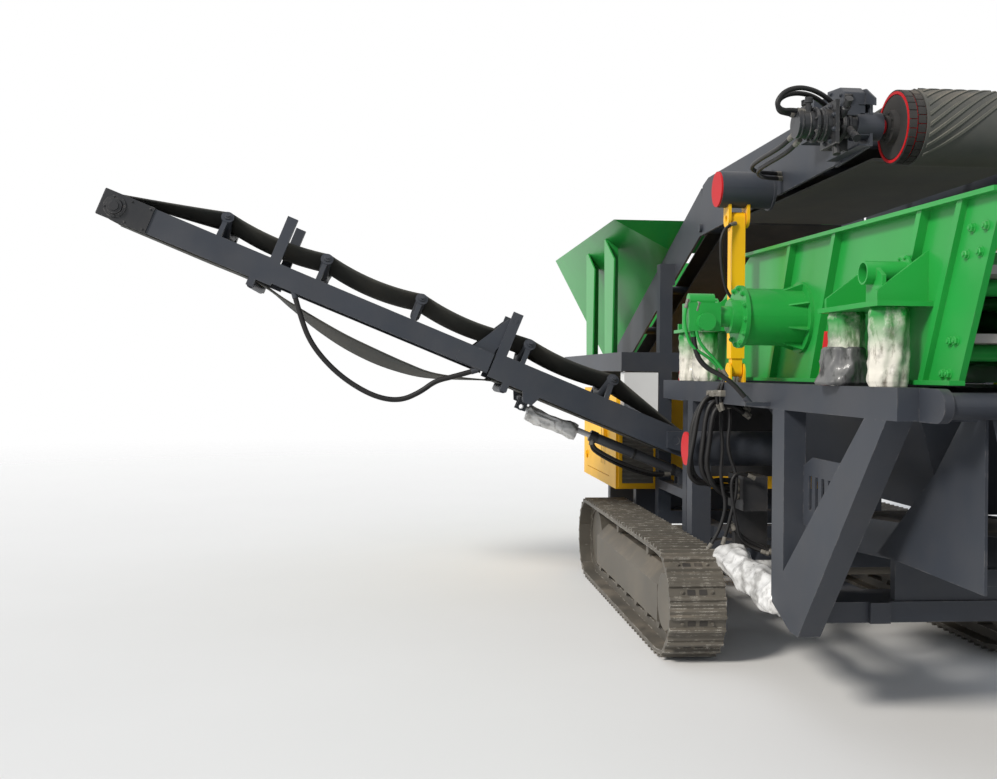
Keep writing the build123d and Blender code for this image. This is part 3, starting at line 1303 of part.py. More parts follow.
tail_start = (tail_hinge_x + 40.0, 1140.0)
tail_at = sloped(tail_start, tail_slope)
tail_tip_x = track_x + tail_reach
tail_run = (tail_tip_x - tail_drum_r - belt_thick - tail_start[0]) / cos(radians(tail_slope))
ear_y = rail_inner_y - clearance
with BuildPart() as tail_fold_frame:
    for name, side in sides:
        wall = span(side, tail_y - 14, tail_y)
        slab_y([tail_at(0, -120), tail_at(tail_run, -120), tail_at(tail_run, 120),
                tail_at(500, 180), (tail_hinge_x + 60, tail_hinge_z + 60),
                (tail_hinge_x - 60, tail_hinge_z + 20), (tail_hinge_x - 60, tail_hinge_z - 60),
                (tail_hinge_x - 10, tail_hinge_z - 180)], wall)
        rod_y(tail_hinge_x, tail_hinge_z, 60, span(side, tail_y - 14, ear_y))
        rod_y(tail_hinge_x, tail_hinge_z, hinge_r, span(side, ear_y, rail_inner_y + lug_thick))
    for along in (350, 1300, 2300, tail_run - 400):
        x, z = tail_at(along, 0)
        rod_y(x, z, 40, (-tail_y + 14, tail_y - 14))
    x, z = tail_at(tail_run, 0)
    rod_y(x, z, tail_drum_r - seat_gap, (-tail_belt_half, tail_belt_half))
    rod_y(x, z, 40, (-tail_y - 60, tail_y))
    rod_y(x, z, 90, (-tail_y - 330, -tail_y - 60))
    x, z = tail_at(120, 0)
    rod_y(x, z, 90, (-tail_belt_half, tail_belt_half))
    rod_y(x, z, 30, (-tail_y, tail_y))
finish(tail_fold_frame, "tail_upper_frame")
with BuildPart() as tail_belt:
    width = (-tail_belt_half, tail_belt_half)
    r = tail_drum_r
    slab_y([tail_at(60, 120), tail_at(tail_run, r), tail_at(tail_run, r + belt_thick),
            tail_at(60, 120 + belt_thick)], width)
    slab_y([tail_at(60, -130), tail_at(tail_run, -r), tail_at(tail_run, -r - belt_thick),
            tail_at(60, -130 - belt_thick)], width)
    x, z = tail_at(tail_run, 0)
    with BuildSketch(Plane.XZ.offset(-width[1])) as wrap:
        with Locations((x, z)):
            Circle(r + belt_thick)
            Circle(r, mode=Mode.SUBTRACT)
        with BuildLine():
            Polyline(tail_at(tail_run, -400), tail_at(tail_run - 400, -400),
                     tail_at(tail_run - 400, 400), tail_at(tail_run, 400), close=True)
        make_face(mode=Mode.SUBTRACT)
    extrude(wrap.sketch, amount=width[1] - width[0])
finish(tail_belt, "tail_upper_belt")
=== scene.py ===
# %% [markdown]
# # Dressing a tracked screening plant
# The solids of the plant come in as a fixed frame. This script gives each of them its
# finish, adds the parts that are better made as meshes, such as hoses, film wraps and
# bolts, and sets up a studio with the photograph's camera.

# %% Load the frame
import bpy
import bmesh
import json
import math
from mathutils import Matrix, Vector, noise


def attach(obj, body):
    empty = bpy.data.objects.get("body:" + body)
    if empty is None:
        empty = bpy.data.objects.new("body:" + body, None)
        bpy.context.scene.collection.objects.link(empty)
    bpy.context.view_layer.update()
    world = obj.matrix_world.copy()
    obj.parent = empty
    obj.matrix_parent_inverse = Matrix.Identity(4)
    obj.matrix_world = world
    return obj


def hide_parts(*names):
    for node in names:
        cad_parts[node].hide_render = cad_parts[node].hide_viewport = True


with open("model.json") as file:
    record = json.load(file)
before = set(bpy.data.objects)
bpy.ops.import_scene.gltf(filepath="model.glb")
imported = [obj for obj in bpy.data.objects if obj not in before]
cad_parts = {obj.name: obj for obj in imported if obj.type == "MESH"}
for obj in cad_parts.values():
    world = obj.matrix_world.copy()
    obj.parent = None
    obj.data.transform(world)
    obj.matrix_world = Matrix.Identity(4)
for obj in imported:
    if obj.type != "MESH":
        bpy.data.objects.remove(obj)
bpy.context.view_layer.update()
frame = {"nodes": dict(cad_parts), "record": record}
nodes = frame["nodes"]

# %% [markdown]
# The camera stood at head height beyond the tail conveyor's end, close to the side
# with the control box. Its place was solved from the photograph: the track gives the
# scale and the long edges give the vanishing points. Tilting the camera would make the
# uprights lean, so a small shift frames the picture instead, and a small roll follows
# the tilted horizon.

# %% The photograph's camera
PHOTO_WIDTH, PHOTO_HEIGHT = 997, 779
FOCAL_PIXELS = 1090.0
SENSOR = 36.0
CAMERA_PLACE = Vector((7.685, -3.31, 2.04))
HEADING = math.radians(5.16)      # turned from straight down the machine
ROLL = math.radians(0.5)
HORIZON_Y = 372.2                 # pixel row of the horizon at the picture's middle

right = Vector((math.sin(HEADING), math.cos(HEADING), 0))
back = Vector((math.cos(HEADING), -math.sin(HEADING), 0))
up = Vector((0, 0, 1))
rolled_right = right * math.cos(ROLL) + up * math.sin(ROLL)
rolled_up = up * math.cos(ROLL) - right * math.sin(ROLL)
camera_data = bpy.data.cameras.new("photo_camera")
camera_data.sensor_width = SENSOR
camera_data.lens = SENSOR * FOCAL_PIXELS / PHOTO_WIDTH
camera_data.shift_y = (HORIZON_Y - PHOTO_HEIGHT / 2) / PHOTO_WIDTH
camera_data.clip_end = 200.0
camera = bpy.data.objects.new("photo_camera", camera_data)
camera.matrix_world = Matrix((
    (rolled_right.x, rolled_up.x, back.x, CAMERA_PLACE.x),
    (rolled_right.y, rolled_up.y, back.y, CAMERA_PLACE.y),
    (rolled_right.z, rolled_up.z, back.z, CAMERA_PLACE.z),
    (0, 0, 0, 1)))
bpy.context.scene.collection.objects.link(camera)
bpy.context.scene.camera = camera
print("lens", round(camera_data.lens, 2), "mm")

# %% [markdown]
# Two hoses hang free in full view, one under the side conveyor's tip and one below the
# exciter's motor. A free hose takes the easiest line between its two ends. A NURBS
# spline gives that line from a few control points, and the curve's bevel gives the hose
# its round section. Polygon tubes would need every bend rounded by hand.

# %% A smooth hose
def metres(route):
    """A route that is written in millimetres, as places in metres."""
    return [tuple(value / 1000 for value in place) for place in route]


def hose_curve(name, points, diameter):
    """A smooth tube that follows a short list of points."""
    data = bpy.data.curves.new(name, "CURVE")
    data.dimensions = "3D"
    spline = data.splines.new("NURBS")
    spline.points.add(len(points) - 1)
    for knot, place in zip(spline.points, points):
        knot.co = (*place, 1.0)
    spline.order_u = 3
    spline.use_endpoint_u = True
    spline.resolution_u = 10
    data.bevel_depth = diameter / 2
    data.bevel_resolution = 4
    data.use_fill_caps = True
    hose = bpy.data.objects.new(name, data)
    bpy.context.scene.collection.objects.link(hose)
    return hose


# %% Along a side conveyor
LOW_DRUM_Y, LOW_DRUM_Z = -0.930, 1.460       # the left side conveyor's lower drum
HIGH_DRUM_Y, HIGH_DRUM_Z = -5.680, 3.390     # and the drum at its tip
SIDE_RUN = LOW_DRUM_Y - HIGH_DRUM_Y
SIDE_SLOPE = math.atan2(HIGH_DRUM_Z - LOW_DRUM_Z, SIDE_RUN)


def on_side(along, above):
    """The (y, z) of a place on the left side conveyor, measured from its lower drum."""
    run, rise = math.cos(SIDE_SLOPE), math.sin(SIDE_SLOPE)
    return LOW_DRUM_Y - along * run + above * rise, LOW_DRUM_Z + along * rise + above * run


print("the side conveyors rise at", round(math.degrees(SIDE_SLOPE), 1), "degrees")

# %% Free hoses
TIP_HOSE_X = -1.653
TIP_HOSE = ((3475, -125), (3370, -262), (3215, -425), (2990, -548), (2760, -617), (2520, -640),
            (2325, -590), (2195, -455), (2115, -318), (1985, -225), (1862, -127))
MOTOR_HOSE = ((1065, -1500, 2270), (1070, -1490, 2165), (1080, -1425, 2078),
              (1097, -1325, 2030), (1113, -1250, 1972), (1120, -1190, 1900))
tip_route = [(TIP_HOSE_X, *on_side(along, above)) for along, above in metres(TIP_HOSE)]
free_hoses = []
for name, body, node, route, length, diameter in (
        ("side_tip_hose", "side_tip_left", "hose_tip_left", tip_route, 1.98, 0.045),
        ("exciter_hose", "chassis", "hose_exciter", metres(MOTOR_HOSE), 0.51, 0.032)):
    hose = hose_curve(name, route, diameter)
    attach(hose, body)
    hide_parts(node)
    free_hoses.append(hose)
print("free hoses:", ", ".join(hose.name for hose in free_hoses))

# %% [markdown]
# A finish could be a flat colour on the shader, but nothing outdoors is. What several
# finishes share goes into a node group, built once. The helpers below add a node with
# its values, link it, and make the few steps that the groups use again and again.

# %% Helpers for node trees
COLOUR, NUMBER = "NodeSocketColor", "NodeSocketFloat"


def add(tree, kind, place=(0, 0), values=None, **settings):
    """A new node with its settings and the values of its unlinked inputs."""
    node = tree.nodes.new(kind)
    node.location = place
    for key, value in settings.items():
        setattr(node, key, value)
    for label, value in (values or {}).items():
        node.inputs[label].default_value = value
    return node


def wire(tree, source, target):
    """Links an output to an input."""
    tree.links.new(source, target)


def feed(tree, target, value):
    """Gives an input a plain number, a plain colour or a link, whichever the value is."""
    if isinstance(value, (int, float)):
        target.default_value = value
    elif isinstance(value, tuple):
        target.default_value = (*value, 1.0)
    else:
        wire(tree, value, target)


def surface_group(name, inputs):
    """A shader node group that puts out a colour, a roughness and a height."""
    group = bpy.data.node_groups.new(name, "ShaderNodeTree")
    for label, kind, default in inputs:
        socket = group.interface.new_socket(name=label, in_out="INPUT", socket_type=kind)
        socket.default_value = default
    for label, kind in (("Colour", COLOUR), ("Roughness", NUMBER), ("Height", NUMBER)):
        group.interface.new_socket(name=label, in_out="OUTPUT", socket_type=kind)
    return group, add(group, "NodeGroupInput", (-900, 0)), add(group, "NodeGroupOutput", (900, 0))


# %% Steps that the groups share
def noise_of(tree, scale, detail=3.0, rough=0.55, stretch=None):
    """Object-space noise, its coordinates stretched along an axis where asked."""
    where = add(tree, "ShaderNodeTexCoord", (-700, -300)).outputs["Object"]
    if stretch:
        mapping = add(tree, "ShaderNodeMapping", (-500, -300), {"Scale": stretch})
        wire(tree, where, mapping.inputs["Vector"])
        where = mapping.outputs["Vector"]
    texture = add(tree, "ShaderNodeTexNoise", (-300, -300),
                  {"Scale": scale, "Detail": detail, "Roughness": rough})
    wire(tree, where, texture.inputs["Vector"])
    return texture.outputs["Fac"]


def ramp(tree, value, low, high, out_low=0.0, out_high=1.0):
    """Maps a value's range to another, clamped at both ends."""
    node = add(tree, "ShaderNodeMapRange", (0, -200),
               {"From Min": low, "From Max": high, "To Min": out_low, "To Max": out_high})
    wire(tree, value, node.inputs["Value"])
    return node.outputs["Result"]


def math_node(tree, kind, first, second):
    """One arithmetic step between two sockets or numbers."""
    node = add(tree, "ShaderNodeMath", (200, -200), operation=kind)
    feed(tree, node.inputs[0], first)
    feed(tree, node.inputs[1], second)
    return node.outputs["Value"]


def mix_colour(tree, factor, first, second, mode="MIX"):
    """Mixes two colours by a factor; each may be a socket or a plain value."""
    node = add(tree, "ShaderNodeMix", (400, 0), data_type="RGBA", blend_type=mode)
    for label, value in (("Factor", factor), ("A", first), ("B", second)):
        feed(tree, node.inputs[label], value)
    return node.outputs["Result"]


# %% [markdown]
# Paint outdoors is never one flat colour. One node group holds what all the painted
# steel shares: a slow drift in tone, dust that settles on what faces up, bare scuffs
# along the edges and a fine orange peel. Each paint then feeds it its own values. A
# picture painted for each part would do this too, but would have to be made part by part.

# %% The paint group
EDGE_WIDTH = 0.012                    # metres of a corner that wear can reach


def make_paint_group():
    """Painted steel that has stood outdoors."""
    group, inside, outside = surface_group(
        "weathered_paint",
        [("Paint", COLOUR, (0.1, 0.1, 0.1, 1)), ("Dust Colour", COLOUR, (0.36, 0.30, 0.23, 1)),
         ("Bare Colour", COLOUR, (0.30, 0.28, 0.26, 1)), ("Dust", NUMBER, 0.3),
         ("Wear", NUMBER, 0.3), ("Base Roughness", NUMBER, 0.4)])
    drift = ramp(group, noise_of(group, 1.3, 2.0), 0.3, 0.7, 0.90, 1.10)
    toned = mix_colour(group, 1.0, inside.outputs["Paint"], drift, "MULTIPLY")

    facing = add(group, "ShaderNodeSeparateXYZ", (-500, 300))
    geometry = add(group, "ShaderNodeNewGeometry", (-700, 300))
    wire(group, geometry.outputs["Normal"], facing.inputs["Vector"])
    settled = ramp(group, facing.outputs["Z"], 0.2, 0.95)
    patches = ramp(group, noise_of(group, 4.0, 6.0, 0.65), 0.38, 0.68)
    haze = ramp(group, noise_of(group, 2.2, 5.0, 0.6), 0.35, 0.75, 0.0, 0.35)
    dust = math_node(group, "MAXIMUM", math_node(group, "MULTIPLY", settled, patches), haze)
    dust = math_node(group, "MULTIPLY", dust, inside.outputs["Dust"])
    dusty = mix_colour(group, dust, toned, inside.outputs["Dust Colour"])

    bevel = add(group, "ShaderNodeBevel", (-700, -600), {"Radius": EDGE_WIDTH}, samples=4)
    across = add(group, "ShaderNodeVectorMath", (-500, -600), operation="DOT_PRODUCT")
    wire(group, bevel.outputs["Normal"], across.inputs[0])
    wire(group, geometry.outputs["Normal"], across.inputs[1])
    edge = ramp(group, across.outputs["Value"], 0.985, 0.90)
    broken = ramp(group, noise_of(group, 14.0, 5.0, 0.7), 0.50, 0.62)
    scuffed = math_node(group, "MULTIPLY", math_node(group, "MULTIPLY", edge, broken),
                        inside.outputs["Wear"])
    worn = mix_colour(group, scuffed, dusty, inside.outputs["Bare Colour"])
    wire(group, worn, outside.inputs["Colour"])
    rough = math_node(group, "ADD", inside.outputs["Base Roughness"],
                      math_node(group, "MULTIPLY", dust, 0.5))
    wire(group, rough, outside.inputs["Roughness"])
    peel = ramp(group, noise_of(group, 55.0, 2.0), 0.0, 1.0, 0.0, 0.25)
    wire(group, peel, outside.inputs["Height"])
    return group


paint_group = make_paint_group()
print("group", paint_group.name, "with", len(paint_group.nodes), "nodes")

# %% [markdown]
# The plant came from the works with its springs and rods in packing film, and the screen
# was sprayed over it. The film's group holds pale and stained patches, painted shade in the
# creases and the green that reached its upper part. Painting it by hand would give one wrap only.

# %% The film group
SPRAY_LOW, SPRAY_HIGH = 2.15, 2.33    # heights at which the green starts and is full
SPRAY_GREEN = (0.016, 0.245, 0.040)
FILM_GREY = (0.36, 0.36, 0.34)


def make_film_group():
    """Packing film with stains, painted shade in its creases and green spray."""
    group, inside, outside = surface_group(
        "packing_film",
        [("Film", COLOUR, (0.6, 0.6, 0.6, 1)), ("Stain", COLOUR, (0.2, 0.2, 0.2, 1)),
         ("Overspray", NUMBER, 0.0), ("Base Roughness", NUMBER, 0.3)])
    stained = ramp(group, noise_of(group, 7.0, 5.0, 0.6), 0.52, 0.66, 0.0, 0.8)
    tinted = mix_colour(group, stained, inside.outputs["Film"], inside.outputs["Stain"])
    greyed = ramp(group, noise_of(group, 3.5, 4.0, 0.6), 0.35, 0.70, 0.0, 0.45)
    clean = mix_colour(group, greyed, tinted, FILM_GREY)
    # The crease pattern darkens the film towards its stain colour as painted shade.
    shaded_crease_mask = ramp(group, noise_of(group, 26.0, 6.0, 0.70, (1.0, 1.0, 0.30)), 0.53, 0.66)
    crease_shaded = mix_colour(group, math_node(group, "MULTIPLY", shaded_crease_mask, 0.85), clean,
                       inside.outputs["Stain"])

    height = add(group, "ShaderNodeSeparateXYZ", (-500, 500))
    where = add(group, "ShaderNodeTexCoord", (-700, 500)).outputs["Object"]
    wire(group, where, height.inputs["Vector"])
    top = ramp(group, height.outputs["Z"], SPRAY_LOW, SPRAY_HIGH)
    broken = ramp(group, noise_of(group, 6.0, 5.0, 0.65), 0.32, 0.52)
    sprayed = math_node(group, "MULTIPLY", math_node(group, "MULTIPLY", top, broken),
                        inside.outputs["Overspray"])
    wire(group, mix_colour(group, sprayed, crease_shaded, SPRAY_GREEN), outside.inputs["Colour"])
    rough = math_node(group, "ADD", inside.outputs["Base Roughness"],
                      math_node(group, "MULTIPLY", shaded_crease_mask, 0.25))
    wire(group, rough, outside.inputs["Roughness"])
    wire(group, noise_of(group, 24.0, 6.0, 0.62, (1.0, 1.0, 0.5)), outside.inputs["Height"])
    return group


film_group = make_film_group()
print("group", film_group.name, "with", len(film_group.nodes), "nodes")

# %% [markdown]
# A material places one of the groups, then hands its colour, roughness and height to a
# Principled shader. The numbers in the tables are linear, so a bright green of the
# photograph is written a good deal darker here than its screen values look. Tables are
# easier to compare and correct than twenty materials written out.

# %% Materials from the tables
def shaded_material(name, group, values, bump, coat, specular):
    """A material around one group, which feeds colour, roughness and bump."""
    material = bpy.data.materials.new(name)
    material.use_nodes = True
    tree = material.node_tree
    shader = tree.nodes["Principled BSDF"]
    shader.inputs["Coat Weight"].default_value = coat
    shader.inputs["Specular IOR Level"].default_value = specular
    placed = add(tree, "ShaderNodeGroup", (-500, 0), node_tree=group)
    for label, value in values.items():
        feed(tree, placed.inputs[label], value)
    wire(tree, placed.outputs["Colour"], shader.inputs["Base Color"])
    wire(tree, placed.outputs["Roughness"], shader.inputs["Roughness"])
    relief = add(tree, "ShaderNodeBump", (-200, -300), {"Distance": bump})
    wire(tree, placed.outputs["Height"], relief.inputs["Height"])
    wire(tree, relief.outputs["Normal"], shader.inputs["Normal"])
    return material


PAINTS = {                            # colour, dust, wear, roughness, clear coat
    "grey_paint": ((0.033, 0.039, 0.051), 0.15, 0.25, 0.50, 0.02),
    "green_paint": ((0.017, 0.315, 0.050), 0.06, 0.15, 0.36, 0.06),
    "yellow_paint": ((0.94, 0.50, 0.006), 0.04, 0.20, 0.45, 0.0),
    "red_paint": ((0.52, 0.004, 0.009), 0.03, 0.10, 0.55, 0.0),
    "white_paint": ((0.86, 0.86, 0.85), 0.08, 0.10, 0.38, 0.06),
    "dark_steel": ((0.022, 0.023, 0.026), 0.25, 0.30, 0.50, 0.06),
    "track_frame_paint": ((0.105, 0.096, 0.080), 0.45, 0.50, 0.55, 0.0),
    "belt_rubber": ((0.024, 0.024, 0.026), 0.35, 0.0, 0.75, 0.0),
    "spring_rubber": ((0.035, 0.035, 0.035), 0.40, 0.0, 0.70, 0.0),
    "track_steel": ((0.085, 0.078, 0.065), 0.42, 1.0, 0.48, 0.0),
    "deck_mesh": ((0.28, 0.27, 0.25), 0.50, 0.30, 0.50, 0.0),
    "wrapped_steel": ((0.070, 0.075, 0.085), 0.20, 0.20, 0.35, 0.06),
    "rod_chrome": ((0.62, 0.62, 0.63), 0.10, 0.0, 0.15, 0.06),
    "rib_rubber": ((0.095, 0.098, 0.085), 0.60, 0.0, 0.80, 0.0),
    "worn_belt": ((0.078, 0.080, 0.074), 0.35, 0.0, 0.78, 0.0),
    "slack_belt": ((0.036, 0.038, 0.034), 0.30, 0.0, 0.75, 0.0),
    "drive_black": ((0.018, 0.020, 0.024), 0.20, 0.50, 0.38, 0.06),
    # This dark rubber also serves as painted shade on the drum's webs and in the track shoes'
    # slots.
    "lagging_rubber": ((0.020, 0.020, 0.021), 0.30, 0.0, 0.65, 0.0),
    "hose_rubber": ((0.008, 0.008, 0.009), 0.07, 0.0, 0.48, 0.0),
    "zinc": ((0.16, 0.15, 0.13), 0.30, 0.40, 0.35, 0.0),
}
FILMS = {                             # film, stain, green blown over it, roughness
    "spring_film": ((0.76, 0.72, 0.62), (0.14, 0.12, 0.09), 1.0, 0.32),
    "grey_film": ((0.045, 0.045, 0.05), (0.012, 0.012, 0.012), 0.0, 0.45),
    "silver_film": ((0.80, 0.79, 0.77), (0.25, 0.24, 0.23), 0.0, 0.25),
}
BARE_STEEL = (0.30, 0.28, 0.26)
BARE_EDGE_AND_HIGHLIGHT = (0.52, 0.49, 0.43)   # the shoes' edges, rubbed bare by the ground and lightened further as a painted highlight
finishes = {}
for name, (colour, dust, wear, roughness, coat) in PAINTS.items():
    # The track's edges get the brighter colour: bare steel with a painted highlight on it.
    bare = BARE_EDGE_AND_HIGHLIGHT if name == "track_steel" else BARE_STEEL
    finishes[name] = shaded_material(
        name, paint_group, {"Paint": colour, "Dust": dust, "Wear": wear, "Bare Colour": bare,
                            "Base Roughness": roughness}, bump=0.0004, coat=coat, specular=0.32)
for name, (cloth, stain, overspray, roughness) in FILMS.items():
    finishes[name] = shaded_material(
        name, film_group, {"Film": cloth, "Stain": stain, "Overspray": overspray,
                           "Base Roughness": roughness}, bump=0.0016, coat=0.12, specular=0.4)
print("finishes:", ", ".join(sorted(finishes)))

# %% [markdown]
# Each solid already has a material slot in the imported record, so its finish is looked up
# by that slot's name. Two solids differ from the rest of their slot: the head drive is
# darker than the frame, and the head belt is worn grey by what it carries.

# %% Finishes on the solids
slot_of = {row["node"]: row["material_slot"] for row in frame["record"]["subparts"]}
special = {"head_drive": "drive_black", "head_belt": "worn_belt"}
for name, solid in nodes.items():
    solid.data.materials.clear()
    solid.data.materials.append(finishes[special.get(name, slot_of[name])])
for hose in free_hoses:
    hose.data.materials.append(finishes["hose_rubber"])
print("dressed", len(nodes), "solids")

# %% [markdown]
# Small parts repeat many times over, and most of them are rings of corners joined by a
# skin of faces. One helper lays that skin, one finds the directions across an axis, and
# one sets the finished piece on its body. Each piece is one object, so that a row of
# bolts stays light. Modifiers could draw the rows too, but plain meshes are quicker.

# %% Helpers for meshes
def axes_of(out):
    """A direction made one long, and two directions square to it."""
    out = Vector(out).normalized()
    side = out.orthogonal().normalized()
    return out, side, out.cross(side)


def skin(mesh, rings):
    """Faces from ring to ring and over both ends; every ring has as many corners."""
    faces = []
    for low, high in zip(rings, rings[1:]):
        for step in range(len(low)):
            after = (step + 1) % len(low)
            faces.append(mesh.faces.new((low[step], low[after], high[after], high[step])))
    faces.append(mesh.faces.new(list(reversed(rings[0]))))
    faces.append(mesh.faces.new(rings[-1]))
    return faces


def piece_from(mesh, name, body, slot, finish=None, smooth=False, replaced=()):
    """Turns the built mesh into a piece that rides a body."""
    data = bpy.data.meshes.new(name)
    bmesh.ops.recalc_face_normals(mesh, faces=mesh.faces)
    mesh.to_mesh(data)
    mesh.free()
    if smooth:
        data.shade_smooth()
    data.materials.append(finishes[finish or slot])
    piece = bpy.data.objects.new(name, data)
    bpy.context.scene.collection.objects.link(piece)
    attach(piece, body)
    if replaced:
        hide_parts(*replaced)
    return piece


# %% [markdown]
# The screen's springs left the works wrapped in packing film. The film is pulled tight
# round a coil, so the coil shows as soft ridges, and it crumples where it was gathered.
# Noise on a fine cylinder gives both: a helix wave for the coil and folded noise for
# the creases. A cloth simulation would cost minutes and look much the same.

# %% A crumpled sleeve
def crumple(place, scale, seed):
    """Folded noise: sharp creases between smooth hollows."""
    shifted = Vector(place) * scale + Vector((seed * 7.3, seed * 3.1, seed * 5.7))
    return 1.0 - abs(noise.noise(shifted)) * 2.0


def film_sleeve(mesh, foot, out, radius, length, seed, depth=0.012, pitch=0.075, coil=0.0015,
                sides=96, rings=72, grain=(7.0, 21.0), flare=0.0):
    """A crumpled sleeve of film round a coil, drawn in a little at both ends."""
    out, first, second = axes_of(out)
    rows = []
    for level in range(rings + 1):
        share = level / rings
        gather = 1.0 - 0.10 * max(0.0, 1 - share / 0.07) - 0.08 * max(0.0, (share - 0.94) / 0.06)
        row = []
        for step in range(sides):
            turn = 2 * math.pi * step / sides
            around = first * math.cos(turn) + second * math.sin(turn)
            spot = around * radius + out * (share * length * 0.55)
            ridge = coil * math.cos(2 * math.pi * share * length / pitch - turn)
            fold = depth * (crumple(spot, grain[0], seed) * 0.66
                            + crumple(spot, grain[1], seed) * 0.34 - 0.70)
            tall = 0.0035 * math.sin(7 * turn + 5.0 * noise.noise(spot * 5.0))
            wide = radius * gather * (1 + flare * (1 - share) ** 2)
            row.append(mesh.verts.new(Vector(foot) + out * (share * length)
                                      + around * (wide + ridge + fold + tall)))
        rows.append(row)
    skin(mesh, rows)


# %% Film round the springs
SPRING_XS = (-0.975, -0.565, 2.115, 2.615)
SPRING_Y = 0.965
SPRING_LOW, SPRING_HIGH = 1.985, 2.370
SPRING_RADIUS, APRON_RADIUS = 0.096, 0.112
springs = bmesh.new()
for side in (-1, 1):
    for count, x in enumerate(SPRING_XS):
        film_sleeve(springs, (x, side * SPRING_Y, SPRING_LOW), (0, 0, 1), SPRING_RADIUS,
                    SPRING_HIGH - SPRING_LOW, seed=count + (5 if side > 0 else 0))
piece_from(springs, "spring_film", "chassis", "spring_rubber", "spring_film", smooth=True,
           replaced=("screen_springs",))
apron = bmesh.new()
film_sleeve(apron, (SPRING_XS[2], -0.978, 1.988), (0, 0, 1), APRON_RADIUS, 0.20, seed=31,
            depth=0.036, coil=0.0, rings=44, grain=(6.0, 17.0), flare=0.34)
piece_from(apron, "spring_apron", "chassis", "spring_rubber", "grey_film", smooth=True)
print("wrapped springs:", 2 * len(SPRING_XS))

# %% [markdown]
# Bolted joints are what makes steelwork look heavy. The screen's end stiffeners, the
# exciter's covers and the head drum's bearings all show theirs in the photograph. A bump
# map would stay flat at their edges, so each bolt is turned: a washer, a head with six
# sides and the end of the thread, each a short profile carried round an axis.

# %% A turned bolt
def turned(mesh, place, out, profile, sides=24, spin=0.0):
    """A solid turned round an axis, from (radius, height) pairs, closed at both ends."""
    out, first, second = axes_of(out)
    turns = [spin + 2 * math.pi * step / sides for step in range(sides)]
    skin(mesh, [[mesh.verts.new(Vector(place) + out * height
                                + (first * math.cos(turn) + second * math.sin(turn)) * radius)
                 for turn in turns] for radius, height in profile])


def bolt(mesh, place, out, size, spin=0.3):
    """A hexagon bolt on its washer; size is the thread's diameter."""
    turned(mesh, place, out, [(size * 1.05, -0.002), (size * 1.05, size * 0.16),
                              (size * 0.98, size * 0.20)], sides=20)
    turned(mesh, place, out, [(size * 0.90, size * 0.18), (size * 0.90, size * 0.72),
                              (size * 0.76, size * 0.84)], sides=6, spin=spin)
    turned(mesh, place, out, [(size * 0.45, size * 0.80), (size * 0.45, size * 1.05),
                              (size * 0.38, size * 1.12)], sides=12)


def circle_spots(centre, out, radius, count, start=0.0):
    """Places round a circle."""
    out, first, second = axes_of(out)
    return [Vector(centre) + (first * math.cos(turn) + second * math.sin(turn)) * radius
            for turn in (start + 2 * math.pi * step / count for step in range(count))]


def bolt_piece(name, body, slot, spots, out, size):
    """Bolts at several places that all point the same way."""
    mesh = bmesh.new()
    for count, place in enumerate(spots):
        bolt(mesh, place, out, size, spin=0.4 + 0.9 * count)
    return piece_from(mesh, name, body, slot)


# %% Bolts on the screen and the exciter
SIDES = (("left", -1), ("right", 1))
STIFFENER_BOLTS = ((3.118, 2.690), (3.232, 2.686), (3.070, 2.579), (3.187, 2.579),
                   (2.936, 2.198), (2.988, 2.200), (2.871, 2.050), (2.923, 2.050))
DOUBLER_FACE = 0.816
EXCITER_COVER = (1.025, 1.210, 2.400)
COVER_CIRCLE = 0.176                  # radius of the circle that its bolts stand on
for name, side in SIDES:
    bolt_piece("stiffener_bolts_" + name, "chassis", "green_paint",
               [(x, side * DOUBLER_FACE, z) for x, z in STIFFENER_BOLTS], (0, side, 0), 0.022)
    cover = (EXCITER_COVER[0], side * EXCITER_COVER[1], EXCITER_COVER[2])
    bolt_piece("exciter_bolts_" + name, "chassis", "green_paint",
               circle_spots(cover, (0, side, 0), COVER_CIRCLE, 12, 0.13), (0, side, 0), 0.018)
print("stiffener bolts:", 2 * len(STIFFENER_BOLTS))

# %% Bolts on the head drum and the spring brackets
HEAD_DRUM_X, HEAD_DRUM_Z = 1.825, 3.425
BEARING_FACE, MOTOR_CIRCLE = 0.796, 0.103
for name, side in SIDES:
    spots = [(HEAD_DRUM_X + dx, side * BEARING_FACE, HEAD_DRUM_Z + dz)
             for dx in (-0.085, 0.042) for dz in (-0.045, 0.045)]
    bolt_piece("bearing_bolts_" + name, "head", "grey_paint", spots, (0, side, 0), 0.016)
motor_flange = (HEAD_DRUM_X, -0.958, HEAD_DRUM_Z)
bolt_piece("drum_motor_bolts", "head", "grey_paint",
           circle_spots(motor_flange, (0, -1, 0), MOTOR_CIRCLE, 8, 0.39), (0, -1, 0), 0.014)
TUBE_Y, TUBE_Z = 0.855, 2.540         # the end of the cross tube in a spring bracket
FLANGE_THICK, FLANGE_CIRCLE = 0.014, 0.078
bracket_rim = bmesh.new()
for side in (-1, 1):
    for x in (-0.625, 2.555):
        turned(bracket_rim, (x, side * TUBE_Y, TUBE_Z), (0, side, 0),
               [(0.064, 0), (0.090, 0.002), (0.090, FLANGE_THICK), (0.064, 0.016)], sides=40)
        face = (x, side * (TUBE_Y + FLANGE_THICK), TUBE_Z)
        for spot in circle_spots(face, (0, side, 0), FLANGE_CIRCLE, 8, 0.39):
            bolt(bracket_rim, spot, (0, side, 0), 0.010)
piece_from(bracket_rim, "bracket_flanges", "chassis", "green_paint")
print("bolts on the bearings, the drum motor and the spring brackets")

# %% [markdown]
# Guards and louvres are folded or cut from sheet. Each is a plate with an outline, pushed
# a little way and with its edges broken, so that light catches them as it does on cut
# steel. A box primitive has no such edge, and few of these outlines are rectangles.

